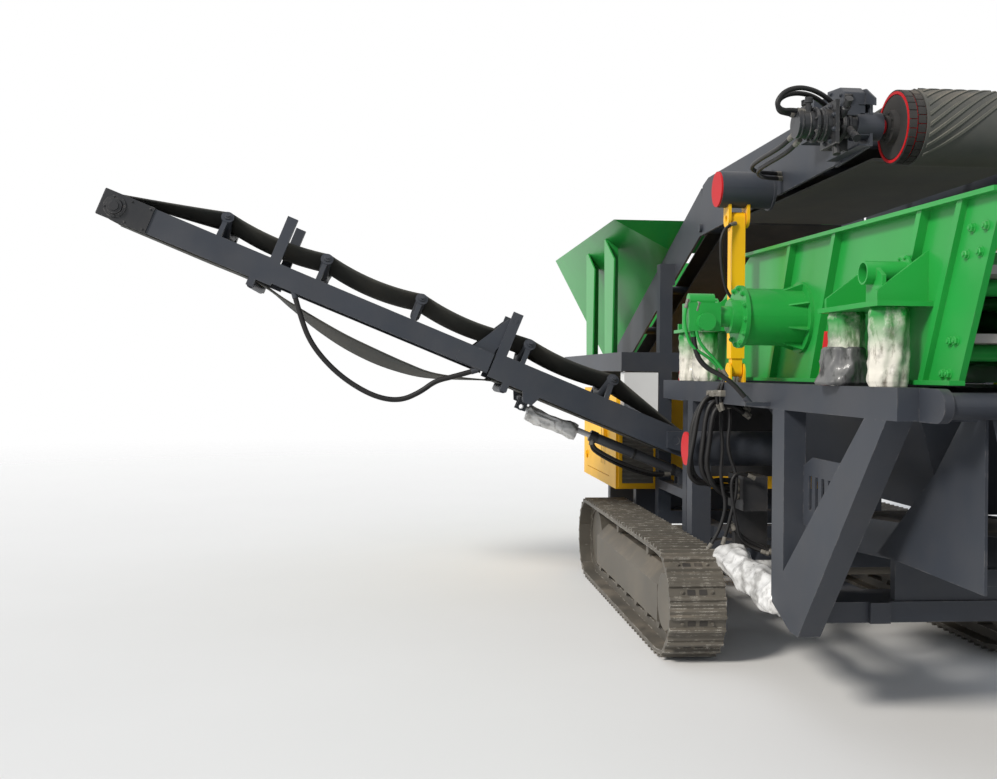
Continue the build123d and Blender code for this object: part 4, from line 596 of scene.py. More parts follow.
# %% Plates
def prism(mesh, outline, axis, near, far, bevel=0.004):
    """A plate: an outline in the two other axes, drawn from near to far along one axis."""
    others = [index for index in range(3) if index != axis]
    rings = []
    for level in (near, far):
        ring = []
        for first, second in outline:
            place = [0.0, 0.0, 0.0]
            place[axis], place[others[0]], place[others[1]] = level, first, second
            ring.append(mesh.verts.new(place))
        rings.append(ring)
    edges = dict.fromkeys(edge for face in skin(mesh, rings) for edge in face.edges)
    if bevel:
        bmesh.ops.bevel(mesh, geom=list(edges), offset=bevel, segments=2, affect="EDGES",
                        profile=0.5)


def rectangle(low, high):
    """The outline of a rectangle between two opposite corners."""
    return [(low[0], low[1]), (high[0], low[1]), (high[0], high[1]), (low[0], high[1])]


# %% [markdown]
# The head drive's reducer is a stack of flanges with pipe fittings on top, and a folded
# guard stands behind it. The flanges and fittings are turned, like the bolts. The guard
# is two plates that meet at the fold.

# %% Head drive fittings
REDUCER_FLANGES = ((-1.116, 0.081, 0.014), (-1.076, 0.082, 0.010), (-1.032, 0.098, 0.020),
                   (-0.990, 0.094, 0.012), (-0.922, 0.078, 0.026), (-0.884, 0.092, 0.022),
                   (-0.842, 0.070, 0.020))            # y, radius, thickness
FITTINGS = ((0.045, -1.080, 0.1, 0.085), (-0.025, -1.080, -0.1, 0.080),
            (0.060, -0.905, 0.9, 0.120), (0.030, -0.865, 0.3, 0.110),
            (0.075, -0.865, 2.2, 0.120), (0.040, -0.930, 2.9, 0.115))   # x, y, lean, height
drive = bmesh.new()
for y, wide, thick in REDUCER_FLANGES:
    turned(drive, (HEAD_DRUM_X, y, HEAD_DRUM_Z), (0, -1, 0),
           [(wide * 0.94, -0.001), (wide, 0.004), (wide, thick - 0.004), (wide * 0.94, thick)],
           sides=40)
for x, y, lean, tall in FITTINGS:
    out = Vector((math.sin(lean), 0, math.cos(lean)))
    foot = Vector((HEAD_DRUM_X, y, HEAD_DRUM_Z)) + out * 0.060 + Vector((x * 0.4, 0, 0))
    turned(drive, foot, out, [(0.020, 0), (0.020, tall * 0.45), (0.014, tall * 0.50),
                              (0.014, tall * 0.62), (0.022, tall * 0.66), (0.022, tall)], sides=18)
for y, radius, start, size in ((-1.052, 0.088, 0.2, 0.009), (-0.906, 0.083, 0.5, 0.008)):
    for spot in circle_spots((HEAD_DRUM_X, y, HEAD_DRUM_Z), (0, -1, 0), radius, 8, start):
        bolt(drive, spot, (0, -1, 0), size)
piece_from(drive, "head_drive_fittings", "head", "grey_paint", "drive_black")
print("flanges and fittings:", len(REDUCER_FLANGES) + len(FITTINGS))

# %% Head drive guard
GUARD_NEAR = -0.890
guard = bmesh.new()
prism(guard, [(1.640, 3.530), (1.880, 3.470), (1.880, 3.600), (1.820, 3.640), (1.640, 3.660)],
      1, GUARD_NEAR, -0.765, bevel=0.006)
prism(guard, [(1.640, 3.610), (2.000, 3.500), (2.000, 3.540), (1.880, 3.620), (1.640, 3.660)],
      1, -0.767, -0.757, bevel=0.002)
for x, z in ((1.700, 3.580), (1.700, 3.630), (1.840, 3.530), (1.840, 3.590)):
    bolt(guard, (x, GUARD_NEAR, z), (0, -1, 0), 0.011)
guard_piece = piece_from(guard, "head_drive_guard", "head", "grey_paint")
print("guard faces:", len(guard_piece.data.polygons))

# %% [markdown]
# The cabinet's near face has a louvred outlet beside the control box, and the left door
# has three pressed seams. Both are thin plates on the solids: cutting them into the
# solids would change the frame for the sake of a few millimetres.

# %% Louvred outlet and door seams
CABINET_FACE = -2.635
OUTLET_Y, OUTLET_Z = (-1.180, -0.875), (0.985, 1.485)      # the opening
FRAME_Y, FRAME_Z = (-1.215, -0.840), (0.950, 1.520)        # and the frame round it
LOUVRES, LOUVRE_PITCH = 12, 0.041
outlet = bmesh.new()
for low, high in (((FRAME_Y[0], FRAME_Z[0]), (OUTLET_Y[0], FRAME_Z[1])),
                  ((OUTLET_Y[1], FRAME_Z[0]), (FRAME_Y[1], FRAME_Z[1])),
                  ((OUTLET_Y[0], FRAME_Z[0]), (OUTLET_Y[1], OUTLET_Z[0])),
                  ((OUTLET_Y[0], OUTLET_Z[1]), (OUTLET_Y[1], FRAME_Z[1]))):
    prism(outlet, rectangle(low, high), 0, CABINET_FACE - 0.002, CABINET_FACE + 0.022)
piece_from(outlet, "outlet_frame", "chassis", "yellow_paint")
louvres = bmesh.new()
prism(louvres, rectangle((-1.182, 0.982), (-0.873, 1.488)), 0, CABINET_FACE - 0.001,
      CABINET_FACE + 0.002, bevel=0)
for index in range(LOUVRES):
    low = 0.990 + index * LOUVRE_PITCH
    prism(louvres, [(CABINET_FACE, low + 0.028), (CABINET_FACE + 0.020, low),
                    (CABINET_FACE + 0.020, low + 0.005), (CABINET_FACE, low + 0.033)],
          1, OUTLET_Y[0], OUTLET_Y[1], bevel=0.001)
piece_from(louvres, "outlet_louvres", "chassis", "dark_steel", "zinc")
seams = bmesh.new()
for x in (-3.190, -3.290, -3.390):
    prism(seams, rectangle((x - 0.004, 1.120), (x + 0.004, 1.690)), 1, -1.2425, -1.238,
          bevel=0.001)
piece_from(seams, "door_seams", "door_left", "dark_steel")
print("louvres:", LOUVRES)

# %% [markdown]
# Every track shoe is held by bolts and has two slots in it, drawn as thin dark straps of
# painted shade. The shoes lie round the chain's pins, so their places follow from the loop's
# own pitch: two straight runs and two half circles. An array along a curve would drift off the
# shoes.

# %% Places round the chain
SHOE_PITCH, SHOE_COUNT = 0.190, 43
TRACK_X, TRACK_Y, WHEEL_BASE = -1.575, 1.250, 3.0875
PIN_RADIUS = (SHOE_PITCH * SHOE_COUNT - 2 * WHEEL_BASE) / (2 * math.pi)
WHEEL_Z = PIN_RADIUS + 0.0795
SHOE_OUT = 0.057


def chain_pin(index):
    """The (x, z) of a chain pin, counted along the loop from the lower far end."""
    along = index * SHOE_PITCH % (SHOE_PITCH * SHOE_COUNT)
    arc, half = math.pi * PIN_RADIUS, WHEEL_BASE / 2
    if along < WHEEL_BASE:
        return TRACK_X - half + along, WHEEL_Z - PIN_RADIUS
    along -= WHEEL_BASE
    if along < arc:
        angle = along / PIN_RADIUS - math.pi / 2
        return TRACK_X + half + PIN_RADIUS * math.cos(angle), WHEEL_Z + PIN_RADIUS * math.sin(angle)
    along -= arc
    if along < WHEEL_BASE:
        return TRACK_X + half - along, WHEEL_Z + PIN_RADIUS
    angle = (along - WHEEL_BASE) / PIN_RADIUS + math.pi / 2
    return TRACK_X - half + PIN_RADIUS * math.cos(angle), WHEEL_Z + PIN_RADIUS * math.sin(angle)


print("the chain's wheels have a pin radius of", round(PIN_RADIUS, 4))

# %% A flat strap with rounded corners
STRAP_CORNERS = 16


def strap(mesh, centre, length, width, thick, along, out):
    """A flat strap with chamfered edges; along is its long direction, out its face."""
    along, out = Vector(along).normalized(), Vector(out).normalized()
    across = along.cross(out)
    rings = []
    for lift, shrink in ((0, 1.0), (thick * 0.7, 1.0), (thick, 0.86)):
        ring = []
        for step in range(STRAP_CORNERS):
            turn = 2 * math.pi * step / STRAP_CORNERS
            bulge_x, bulge_y = (math.copysign(min(1.0, abs(part) * 1.35), part)
                                for part in (math.cos(turn), math.sin(turn)))
            ring.append(mesh.verts.new(Vector(centre) + along * (bulge_x * length / 2 * shrink)
                                       + across * (bulge_y * width / 2 * shrink) + out * lift))
        rings.append(ring)
    skin(mesh, rings)


# %% Shoe bolts and painted shade in the shoes' slots
BOLT_ACROSS, SLOT_SHADE_ACROSS = 0.105, 0.042
shoe_bolts, slot_shades = bmesh.new(), bmesh.new()
for index in range(SHOE_COUNT):
    first, second = Vector(chain_pin(index)), Vector(chain_pin(index + 1))
    run = (second - first).normalized()
    out = Vector((run.y, 0, -run.x))
    middle = (first + second) / 2
    face = Vector((middle.x, 0, middle.y)) + out * SHOE_OUT
    for side in (-1, 1):
        for across in (-BOLT_ACROSS, BOLT_ACROSS):
            bolt(shoe_bolts, face + Vector((0, side * TRACK_Y + across, 0)), out, 0.014)
        # Thin dark straps in each shoe's two slots are painted shade.
        for across in (-SLOT_SHADE_ACROSS, SLOT_SHADE_ACROSS):
            strap(slot_shades, face + Vector((0, side * TRACK_Y + across, 0)), 0.058, 0.040, 0.0015,
                  (0, 1, 0), out)
piece_from(shoe_bolts, "shoe_bolts", "chassis", "track_steel")
piece_from(slot_shades, "shoe_slot_shade", "chassis", "track_steel", "lagging_rubber")
print("shoe bolts:", 4 * SHOE_COUNT)

# %% [markdown]
# The head conveyor's belt carries low diagonal ribs that keep the material from sliding
# back. Each rib is one strip of mesh, laid along the belt's path: straight up the
# carrying run, then round the drum. A texture would lose them at the drum's outline,
# where the photograph shows them best.

# %% The head belt's path
BELT_START = Vector((-1.410, 0, 3.530))
BELT_RADIUS = 0.210
BELT_TOP = HEAD_DRUM_Z + BELT_RADIUS
BELT_HALF = 0.470
RUN_LENGTH = HEAD_DRUM_X - BELT_START.x
RUN_RISE = math.atan2(BELT_TOP - BELT_START.z, RUN_LENGTH)
WRAP = math.radians(190)


def belt_spot(along, lift):
    """The (x, z) of a place along the belt's outer face, lifted off it a little."""
    if along < RUN_LENGTH:
        share = along / RUN_LENGTH
        return (BELT_START.x + along - lift * math.sin(RUN_RISE),
                BELT_START.z + share * (BELT_TOP - BELT_START.z) + lift * math.cos(RUN_RISE))
    turn = (along - RUN_LENGTH) / BELT_RADIUS
    reach = BELT_RADIUS + lift
    return HEAD_DRUM_X + reach * math.sin(turn), HEAD_DRUM_Z + reach * math.cos(turn)


print("the belt rises", round(math.degrees(RUN_RISE), 2), "degrees to the drum")

# %% Ribs on the head conveyor's belt
RIB_PITCH, RIB_HALF, RIB_LIFT = 0.058, 0.013, 0.007
RIB_SLANT = 0.75
RIB_INNER = 0.035                     # where a rib starts, off the belt's middle
RIB_STEPS = 16
RIB_SECTION = ((-RIB_HALF, -0.001), (-RIB_HALF * 0.6, RIB_LIFT), (RIB_HALF * 0.6, RIB_LIFT),
               (RIB_HALF, -0.001))
ribs = bmesh.new()
total = RUN_LENGTH + BELT_RADIUS * WRAP
count = int((total - BELT_HALF * RIB_SLANT - 0.10) / RIB_PITCH)
for index in range(count):
    for side in (-1, 1):
        sections = []
        for step in range(RIB_STEPS + 1):
            across = RIB_INNER + (BELT_HALF - RIB_INNER) * step / RIB_STEPS
            along = 0.05 + index * RIB_PITCH + across * RIB_SLANT
            corners = []
            for shift, lift in RIB_SECTION:
                x, z = belt_spot(along + shift, lift)
                corners.append(ribs.verts.new((x, side * across, z)))
            sections.append(corners)
        skin(ribs, sections)
piece_from(ribs, "head_belt_ribs", "head", "belt_rubber", "rib_rubber")
print("belt ribs:", 2 * count)

# %% [markdown]
# The drum's ends show past the belt: a rim of rubber lagging in grooved blocks, round a
# web with a bolted hub. Each block is a short arc of four corners, and the second row is
# set half a block on. The grooves are real gaps, because they show against the light.

# %% Drum lagging
LAGGING_BLOCKS = 26
BLOCK_TURN = 2 * math.pi / LAGGING_BLOCKS
BLOCK_FILL, BLOCK_STEPS = 0.90, 3
LAGGING_IN, LAGGING_OUT = 0.1945, 0.2045
lagging = bmesh.new()
for side in (-1, 1):
    for index in range(LAGGING_BLOCKS):
        for row, (near, far) in enumerate(((0.488, 0.532), (0.538, 0.582))):
            section = ((LAGGING_IN, near), (LAGGING_OUT, near + 0.002),
                       (LAGGING_OUT, far - 0.002), (LAGGING_IN, far))
            turns = [BLOCK_TURN * (index + 0.5 * row + BLOCK_FILL * step / BLOCK_STEPS)
                     for step in range(BLOCK_STEPS + 1)]
            skin(lagging, [[lagging.verts.new((HEAD_DRUM_X + radius * math.sin(turn), side * y,
                                               HEAD_DRUM_Z + radius * math.cos(turn)))
                            for radius, y in section] for turn in turns])
piece_from(lagging, "drum_lagging", "head", "belt_rubber", "lagging_rubber")
print("lagging blocks:", 4 * LAGGING_BLOCKS)

# %% Drum webs, dark as painted shade in the drum's recess
WEB_Y, HUB_FACE, HUB_CIRCLE = 0.578, 0.618, 0.076
shaded_webs = bmesh.new()
for side in (-1, 1):
    turned(shaded_webs, (HEAD_DRUM_X, side * WEB_Y, HEAD_DRUM_Z), (0, side, 0),
           [(0.176, 0), (0.176, 0.004), (0.172, 0.006), (0.095, 0.008), (0.090, 0.040),
            (0.062, 0.042), (0.060, 0.060)], sides=40)
    hub_face = (HEAD_DRUM_X, side * HUB_FACE, HEAD_DRUM_Z)
    for spot in circle_spots(hub_face, (0, side, 0), HUB_CIRCLE, 8, 0.39):
        bolt(shaded_webs, spot, (0, side, 0), 0.009)
# The webs and their hub bolts take the dark rubber finish as painted shade in the drum's recess.
shaded_webs_piece = piece_from(shaded_webs, "drum_webs_painted_shade", "head", "dark_steel", "lagging_rubber")
print("web faces:", len(shaded_webs_piece.data.polygons))

# %% [markdown]
# The side conveyors' belts are slack on this plant, which stood in a yard for a while.
# Between two idlers a belt hangs in a parabola, and under the tip it hangs far down
# and a little askew. One strip of mesh follows the whole path: over the idlers, round
# the drum and back. A simulated cloth would find its own hang, not the photograph's.

# %% The belt's cross section
SIDE_X, SIDE_BELT_HALF, SIDE_DRUM_R, SIDE_THICK = -2.025, 0.310, 0.105, 0.014
SIDE_LENGTH = SIDE_RUN / math.cos(SIDE_SLOPE)
KNEE, KNEE_SOFT, WING_SLOPE = 0.1077, 0.030, 0.6047
ACROSS = [SIDE_BELT_HALF * step / 10 for step in range(-10, 11)]


def mirrored(side, y):
    """The left side's y as it stands on either side."""
    return y if side < 0 else -y


def wing_rise(x):
    """How far the belt's wing stands above its flat middle, with a soft knee."""
    over = abs(x) - KNEE
    if over < -KNEE_SOFT:
        return 0.0
    if over > KNEE_SOFT:
        return WING_SLOPE * over
    return WING_SLOPE * (over + KNEE_SOFT) ** 2 / (4 * KNEE_SOFT)


print("a wing's edge stands", round(wing_rise(SIDE_BELT_HALF), 3), "above the middle")

# %% The belt's carrying and returning runs
IDLER_TOP, DRUM_DROP = 0.1975, 0.0925


def carried(stations, steps=14):
    """Rows of the carrying run as (along, height of the flat, spread of the wings)."""
    rows = []
    for (s0, drop0, spread0), (s1, drop1, spread1), slack in stations:
        for step in range(steps):
            share = step / steps
            hang = slack * 4 * share * (1 - share)
            rows.append((s0 + (s1 - s0) * share,
                         IDLER_TOP - (drop0 + (drop1 - drop0) * share) - hang,
                         spread0 + (spread1 - spread0) * share))
    (s1, drop1, spread1) = stations[-1][1]
    rows.append((s1, IDLER_TOP - drop1, spread1))
    return rows


def smooth_run(knots, steps=8):
    """A Catmull-Rom curve through (along, height, tilt) knots."""
    rows = []
    for index in range(len(knots) - 1):
        k = [Vector(knots[max(0, min(len(knots) - 1, index + shift))]) for shift in (-1, 0, 1, 2)]
        for step in range(steps):
            t = step / steps
            rows.append(0.5 * (2 * k[1] + (k[2] - k[0]) * t
                               + (2 * k[0] - 5 * k[1] + 4 * k[2] - k[3]) * t ** 2
                               + (3 * k[1] - k[0] - 3 * k[2] + k[3]) * t ** 3))
    rows.append(Vector(knots[-1]))
    return rows


# %% The belt's mesh
DRUM_STEPS = 16


def belt_rows(carry, drum_at, outward, returned):
    """The path's rows, each a list of (outer, inner) places across the belt."""
    rows = []
    for along, high, spread in carry:
        rows.append([((x, along, high + wing_rise(x) * spread + SIDE_THICK),
                      (x, along, high + wing_rise(x) * spread)) for x in ACROSS])
    for step in range(1, DRUM_STEPS):
        turn = math.pi * step / DRUM_STEPS
        reach = outward * math.sin(turn)
        rows.append([((x, drum_at + reach * (SIDE_DRUM_R + SIDE_THICK),
                       math.cos(turn) * (SIDE_DRUM_R + SIDE_THICK)),
                      (x, drum_at + reach * SIDE_DRUM_R, math.cos(turn) * SIDE_DRUM_R))
                     for x in ACROSS])
    for along, high, tilt in returned:
        rows.append([((x, along, high + tilt * x - SIDE_THICK), (x, along, high + tilt * x))
                     for x in ACROSS])
    return rows


def belt_mesh(side, rows):
    """The whole strip: both faces, both edges and both cut ends."""
    mesh = bmesh.new()
    made = [[[mesh.verts.new((SIDE_X + x, mirrored(side, y), z))
              for x, (y, z) in ((x, on_side(along, high)) for x, along, high in pair)]
             for pair in row] for row in rows]
    for near, far in zip(made, made[1:]):
        for index in range(len(ACROSS) - 1):
            for face in (0, 1):
                mesh.faces.new((near[index][face], near[index + 1][face],
                                far[index + 1][face], far[index][face]))
        for edge in (0, -1):
            mesh.faces.new((near[edge][0], near[edge][1], far[edge][1], far[edge][0]))
    for end in (made[0], made[-1]):
        for index in range(len(ACROSS) - 1):
            mesh.faces.new((end[index][0], end[index + 1][0], end[index + 1][1], end[index][1]))
    return mesh


# %% Slack side belts
UNDER = -SIDE_DRUM_R                  # the inner face of the run under the drums
TIP_CARRY = carried([((1.683, 0.010, 0.95), (2.490, 0, 1), 0.040),
                     ((2.490, 0, 1), (3.360, 0, 1), 0.048),
                     ((3.360, 0, 1), (4.260, 0, 1), 0.045),
                     ((4.260, 0, 1), (SIDE_LENGTH, DRUM_DROP, 0.03), 0.004)])
TIP_RETURN = smooth_run([(SIDE_LENGTH, UNDER, 0), (4.450, UNDER - 0.003, 0),
                         (3.869, UNDER - 0.005, 0.01), (3.560, UNDER - 0.075, 0.06),
                         (3.283, UNDER - 0.140, 0.13), (2.980, UNDER - 0.190, 0.17),
                         (2.674, UNDER - 0.210, 0.18), (2.400, UNDER - 0.205, 0.14),
                         (2.176, UNDER - 0.180, 0.08), (1.920, UNDER - 0.105, 0.03),
                         (1.683, UNDER - 0.022, 0)])
BASE_CARRY = carried([((1.667, 0.010, 0.95), (1.480, 0, 1), 0.0),
                      ((1.480, 0, 1), (0.690, 0, 1), 0.035),
                      ((0.690, 0, 1), (0, DRUM_DROP, 0.03), 0.004)])
BASE_RETURN = smooth_run([(0, UNDER, 0), (0.8, UNDER - 0.003, 0), (1.596, UNDER - 0.005, 0),
                          (1.667, UNDER - 0.020, 0)])
for name, side in SIDES:
    for section, rows in (("tip", belt_rows(TIP_CARRY, SIDE_LENGTH, 1, TIP_RETURN)),
                          ("base", belt_rows(BASE_CARRY, 0, -1, BASE_RETURN))):
        piece_from(belt_mesh(side, rows), f"slack_{section}_belt_{name}",
                   f"side_{section}_{name}", "belt_rubber", "slack_belt", smooth=True,
                   replaced=(f"side_{section}_belt_{name}",))
print("slack belts on both side conveyors")

# %% [markdown]
# Each idler ends in a pressed cap on its bracket, and the tip's drum sits in a bolted
# bearing on either side plate. Both are small, but they stand against the sky in the
# photograph. They are turned and placed by the belt's own slope, so they stay in line.

# %% Idler ends
IDLER_ALONG = {"base": (0.690, 1.480), "tip": (2.490, 3.360, 4.260)}
IDLER_ABOVE, IDLER_ACROSS = 0.280, 0.335
WING_OUT = (0.856, 0.517)             # a wing idler's axis: across, and out of the belt's face


def idler_ends(section, name, side):
    """The pressed caps at both ends of each idler on one section of a conveyor."""
    idlers = bmesh.new()
    for along in IDLER_ALONG[section]:
        y, z = on_side(along, IDLER_ABOVE)
        far_y, far_z = on_side(along, IDLER_ABOVE + WING_OUT[1])
        for edge in (-1, 1):
            out = Vector((edge * WING_OUT[0], mirrored(side, far_y - y), far_z - z)).normalized()
            foot = Vector((SIDE_X + edge * IDLER_ACROSS, mirrored(side, y), z)) - out * 0.006
            turned(idlers, foot, out, [(0.046, 0), (0.054, 0.004), (0.054, 0.020), (0.030, 0.022),
                                       (0.030, 0.034), (0.018, 0.036), (0.018, 0.052)], sides=28)
    body = f"side_{section}_{name}"
    piece_from(idlers, "idler_ends_" + body, body, "dark_steel", "grey_paint")


print("idler ends on each side:", 2 * sum(len(places) for places in IDLER_ALONG.values()))

# %% Tip bearings
PLATE_FACES = ((-1.6195, 1), (-2.4305, -1))           # x of a side plate, and its way out
PLATE_ALONG, PLATE_ABOVE = (4.820, 5.250), 0.116
BEARING_CIRCLE = 0.080                # radius of the circle that the bearing's bolts stand on


def tip_bearings(name, side):
    """The bolted plates and bearings of one tip's drum."""
    housing = bmesh.new()
    corners = rectangle((PLATE_ALONG[0], -PLATE_ABOVE), (PLATE_ALONG[1], PLATE_ABOVE))
    outline = [on_side(along, above) for along, above in corners]
    for face, out in PLATE_FACES:
        plate = face + out * 0.007
        prism(housing, [(mirrored(side, y), z) for y, z in outline], 0, face - out * 0.001, plate,
              bevel=0.002)
        y, z = on_side(SIDE_LENGTH, 0)
        hub = (face + out * 0.006, mirrored(side, y), z)
        turned(housing, hub, (out, 0, 0), [(0.092, 0), (0.092, 0.012), (0.070, 0.014),
                                           (0.064, 0.036), (0.042, 0.038), (0.040, 0.050)],
               sides=36)
        rim = Vector(hub) + Vector((out * 0.012, 0, 0))
        for spot in circle_spots(rim, (out, 0, 0), BEARING_CIRCLE, 4, 0.785):
            bolt(housing, spot, (out, 0, 0), 0.010)
        for along in (4.850, 5.010):
            for above in (-0.090, 0.090):
                y, z = on_side(along, above)
                bolt(housing, (plate, mirrored(side, y), z), (out, 0, 0), 0.010)
    piece_from(housing, "tip_bearings_" + name, "side_tip_" + name, "dark_steel", "drive_black")


for name, side in SIDES:
    idler_ends("base", name, side)
    idler_ends("tip", name, side)
    tip_bearings(name, side)
print("tip bearings on each side:", len(PLATE_FACES))

# %% [markdown]
# Hydraulic lines run everywhere on such a plant: in a bundle down the post beside the
# track, along the head conveyor to its drum motor, and down the strut. Each one hangs
# between two fittings of the same body, and its length is measured along its spline. Small
# turned collars make the ends. The routes were traced one by one, because hoses of one
# bundle never run quite alike.

# %% A line with its collars
COLLAR_BACK = 0.045                   # how far a collar reaches back over its hose


def line_length(line):
    """The length of a hose's centre line, read from its spline."""
    bare_data = line.data.copy()
    bare_data.bevel_depth = 0
    bare = bpy.data.objects.new("bare_line", bare_data)
    route = bpy.data.meshes.new_from_object(bare)
    places = [vertex.co.copy() for vertex in route.vertices]
    length = sum((after - before).length for before, after in zip(places, places[1:]))
    bpy.data.objects.remove(bare)
    bpy.data.meshes.remove(route)
    bpy.data.curves.remove(bare_data)
    return length


def hydraulic_lines(name, body, diameter, finish, routes):
    """Several lines on one body, with a pressed steel collar at every end."""
    collars = bmesh.new()
    for count, points in enumerate(routes):
        line = hose_curve(f"{name}_{count}", points, diameter)
        line.data.materials.append(finishes[finish])
        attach(line, body)
        line_length(line)
        for place, after in ((points[0], points[1]), (points[-1], points[-2])):
            back = (Vector(place) - Vector(after)).normalized()
            start = Vector(place) - back * COLLAR_BACK
            turned(collars, start, back, [(diameter * 0.56, 0), (diameter * 0.60, 0.006),
                                          (diameter * 0.60, 0.034), (diameter * 0.50, 0.036),
                                          (diameter * 0.50, 0.040)], sides=16)
            turned(collars, start + back * 0.038, back,
                   [(diameter * 0.68, 0), (diameter * 0.68, 0.020)], sides=6)
    piece_from(collars, name + "_collars", body, "dark_steel", "zinc")


# %% Lines down the post
# Each row holds a name, a body, a diameter, a finish, and routes in millimetres.
POST_LINES = (
    ("post_loop", "chassis", 0.038, "hose_rubber", (
        ((-60, -800, 1800), (-50, -900, 1862), (-30, -1010, 1905), (-25, -1110, 1870),
         (-22, -1165, 1760), (-20, -1190, 1600), (-15, -1222, 1440), (-20, -1232, 1310),
         (-50, -1150, 1240), (-80, -1040, 1262), (-100, -930, 1270), (-120, -820, 1250)),
        ((-90, -790, 1770), (-80, -880, 1830), (-60, -985, 1885), (-55, -1085, 1868),
         (-52, -1160, 1780), (-50, -1205, 1640), (-45, -1210, 1500), (-40, -1213, 1387),
         (-60, -1175, 1290), (-90, -1090, 1240), (-110, -960, 1225), (-130, -820, 1215)),
        ((0, -800, 1740), (20, -890, 1800), (35, -980, 1825), (40, -1060, 1790),
         (42, -1085, 1690), (40, -1100, 1540), (30, -1118, 1400), (10, -1080, 1270),
         (-30, -990, 1180), (-80, -880, 1150), (-120, -820, 1140)),
        ((-20, -800, 1780), (0, -900, 1835), (10, -1000, 1868), (12, -1085, 1830),
         (12, -1120, 1720), (15, -1135, 1560), (10, -1155, 1400), (-10, -1120, 1290),
         (-40, -1020, 1215), (-80, -900, 1200), (-120, -820, 1190)))),
    ("drop_line", "chassis", 0.026, "hose_rubber", (
        ((-20, -985, 1835), (-10, -1005, 1700), (0, -985, 1520), (0, -1000, 1360),
         (5, -995, 1230), (10, -960, 1110), (5, -985, 980), (0, -1030, 870), (-10, -1085, 780)),
        ((20, -950, 1835), (30, -940, 1700), (35, -965, 1560), (40, -945, 1440),
         (50, -900, 1330), (60, -900, 1200), (55, -930, 1070), (50, -960, 940), (40, -990, 830)),
        ((60, -780, 1300), (60, -880, 1345), (62, -945, 1290), (60, -930, 1130),
         (60, -900, 980), (65, -880, 860), (90, -800, 800), (140, -700, 770)))),
    ("low_line", "chassis", 0.036, "hose_rubber", (
        ((30, -930, 960), (40, -880, 890), (50, -800, 835), (70, -700, 790), (100, -630, 760)),)))
for name, body, diameter, finish, routes in POST_LINES:
    hydraulic_lines(name, body, diameter, finish, [metres(route) for route in routes])
print("lines:", sum(len(row[-1]) for row in POST_LINES))

# %% Lines on the rail, the exciter, the head and the strut
UPPER_LINES = (
    ("rail_line", "chassis", 0.024, "hose_rubber", (
        ((20, -910, 1990), (30, -905, 2040), (60, -920, 2075), (100, -960, 2055),
         (110, -1020, 2010), (105, -1060, 1930), (90, -1062, 1840), (70, -1030, 1790)),
        ((80, -905, 1990), (100, -900, 2050), (140, -930, 2085), (180, -980, 2050),
         (190, -1050, 1980), (180, -1065, 1880), (160, -1040, 1800)))),
    ("exciter_line", "chassis", 0.02, "green_paint", (
        ((1075, -1542, 2490), (1075, -1568, 2400), (1075, -1545, 2270), (1075, -1506, 2199),
         (1075, -1384, 2131), (1075, -1315, 2045)),
        ((1100, -1479, 2471), (1100, -1505, 2380), (1100, -1485, 2260), (1100, -1441, 2193),
         (1100, -1359, 2119), (1100, -1302, 2033)))),
    ("drum_motor_line", "head", 0.028, "hose_rubber", (
        ((1845, -1100, 3490), (1850, -1160, 3500), (1858, -1235, 3490), (1862, -1268, 3530),
         (1862, -1225, 3595), (1855, -1140, 3625), (1845, -1050, 3615), (1820, -960, 3580),
         (1790, -895, 3530), (1770, -870, 3480)),
        ((1800, -1120, 3480), (1800, -1180, 3490), (1802, -1232, 3500), (1804, -1240, 3560),
         (1800, -1180, 3600), (1790, -1090, 3610), (1770, -1000, 3590), (1740, -920, 3540),
         (1725, -880, 3480)),
        ((1760, -1130, 3380), (1680, -1145, 3352), (1480, -1145, 3345), (1240, -1140, 3350),
         (980, -1120, 3352), (760, -1020, 3362), (600, -890, 3385), (500, -760, 3400)),
        ((1760, -1100, 3350), (1680, -1108, 3322), (1480, -1106, 3315), (1240, -1102, 3318),
         (980, -1080, 3322), (760, -980, 3330), (600, -860, 3350), (520, -760, 3365)))),
    ("strut_line", "strut_sleeve_left", 0.022, "hose_rubber", (
        ((335, -1020, 3080), (370, -1080, 3060), (385, -1130, 2980), (380, -1128, 2860),
         (375, -1115, 2740), (370, -1090, 2630), (350, -1040, 2560), (318, -990, 2520)),)))
for name, body, diameter, finish, routes in UPPER_LINES:
    hydraulic_lines(name, body, diameter, finish, [metres(route) for route in routes])
print("lines:", sum(len(row[-1]) for row in UPPER_LINES))

# %% [markdown]
# Two clamps hold the bundle where it leaves the rail. On the plant they are short straps
# with rounded ends, bolted through the middle, so the strap that paints the shade in the
# track's slots serves again, thicker.

# %% Line clamps
CLAMP_Y, CLAMP_THICK = -1.040, 0.05
CLAMP_OUT = (0, -1, 0)
clamps = bmesh.new()
for x, z in ((-0.010, 1.900), (0.150, 1.905)):
    strap(clamps, (x, CLAMP_Y, z), 0.16, 0.045, CLAMP_THICK, (1, 0, 0), CLAMP_OUT)
    bolt(clamps, (x, CLAMP_Y - CLAMP_THICK, z), CLAMP_OUT, 0.012)
clamps_piece = piece_from(clamps, "line_clamps", "chassis", "dark_steel", "zinc")
print("clamp faces:", len(clamps_piece.data.polygons))

# %% [markdown]
# The lift cylinders and a ram under the rail travel in silver film. It is the springs'
# sleeve again, longer, without the coil's ridges, and with its own finish. The film
# rides the rod, while the glands and the two hoses of a cylinder ride its barrel, so
# that each goes with its own part when the cylinder moves.

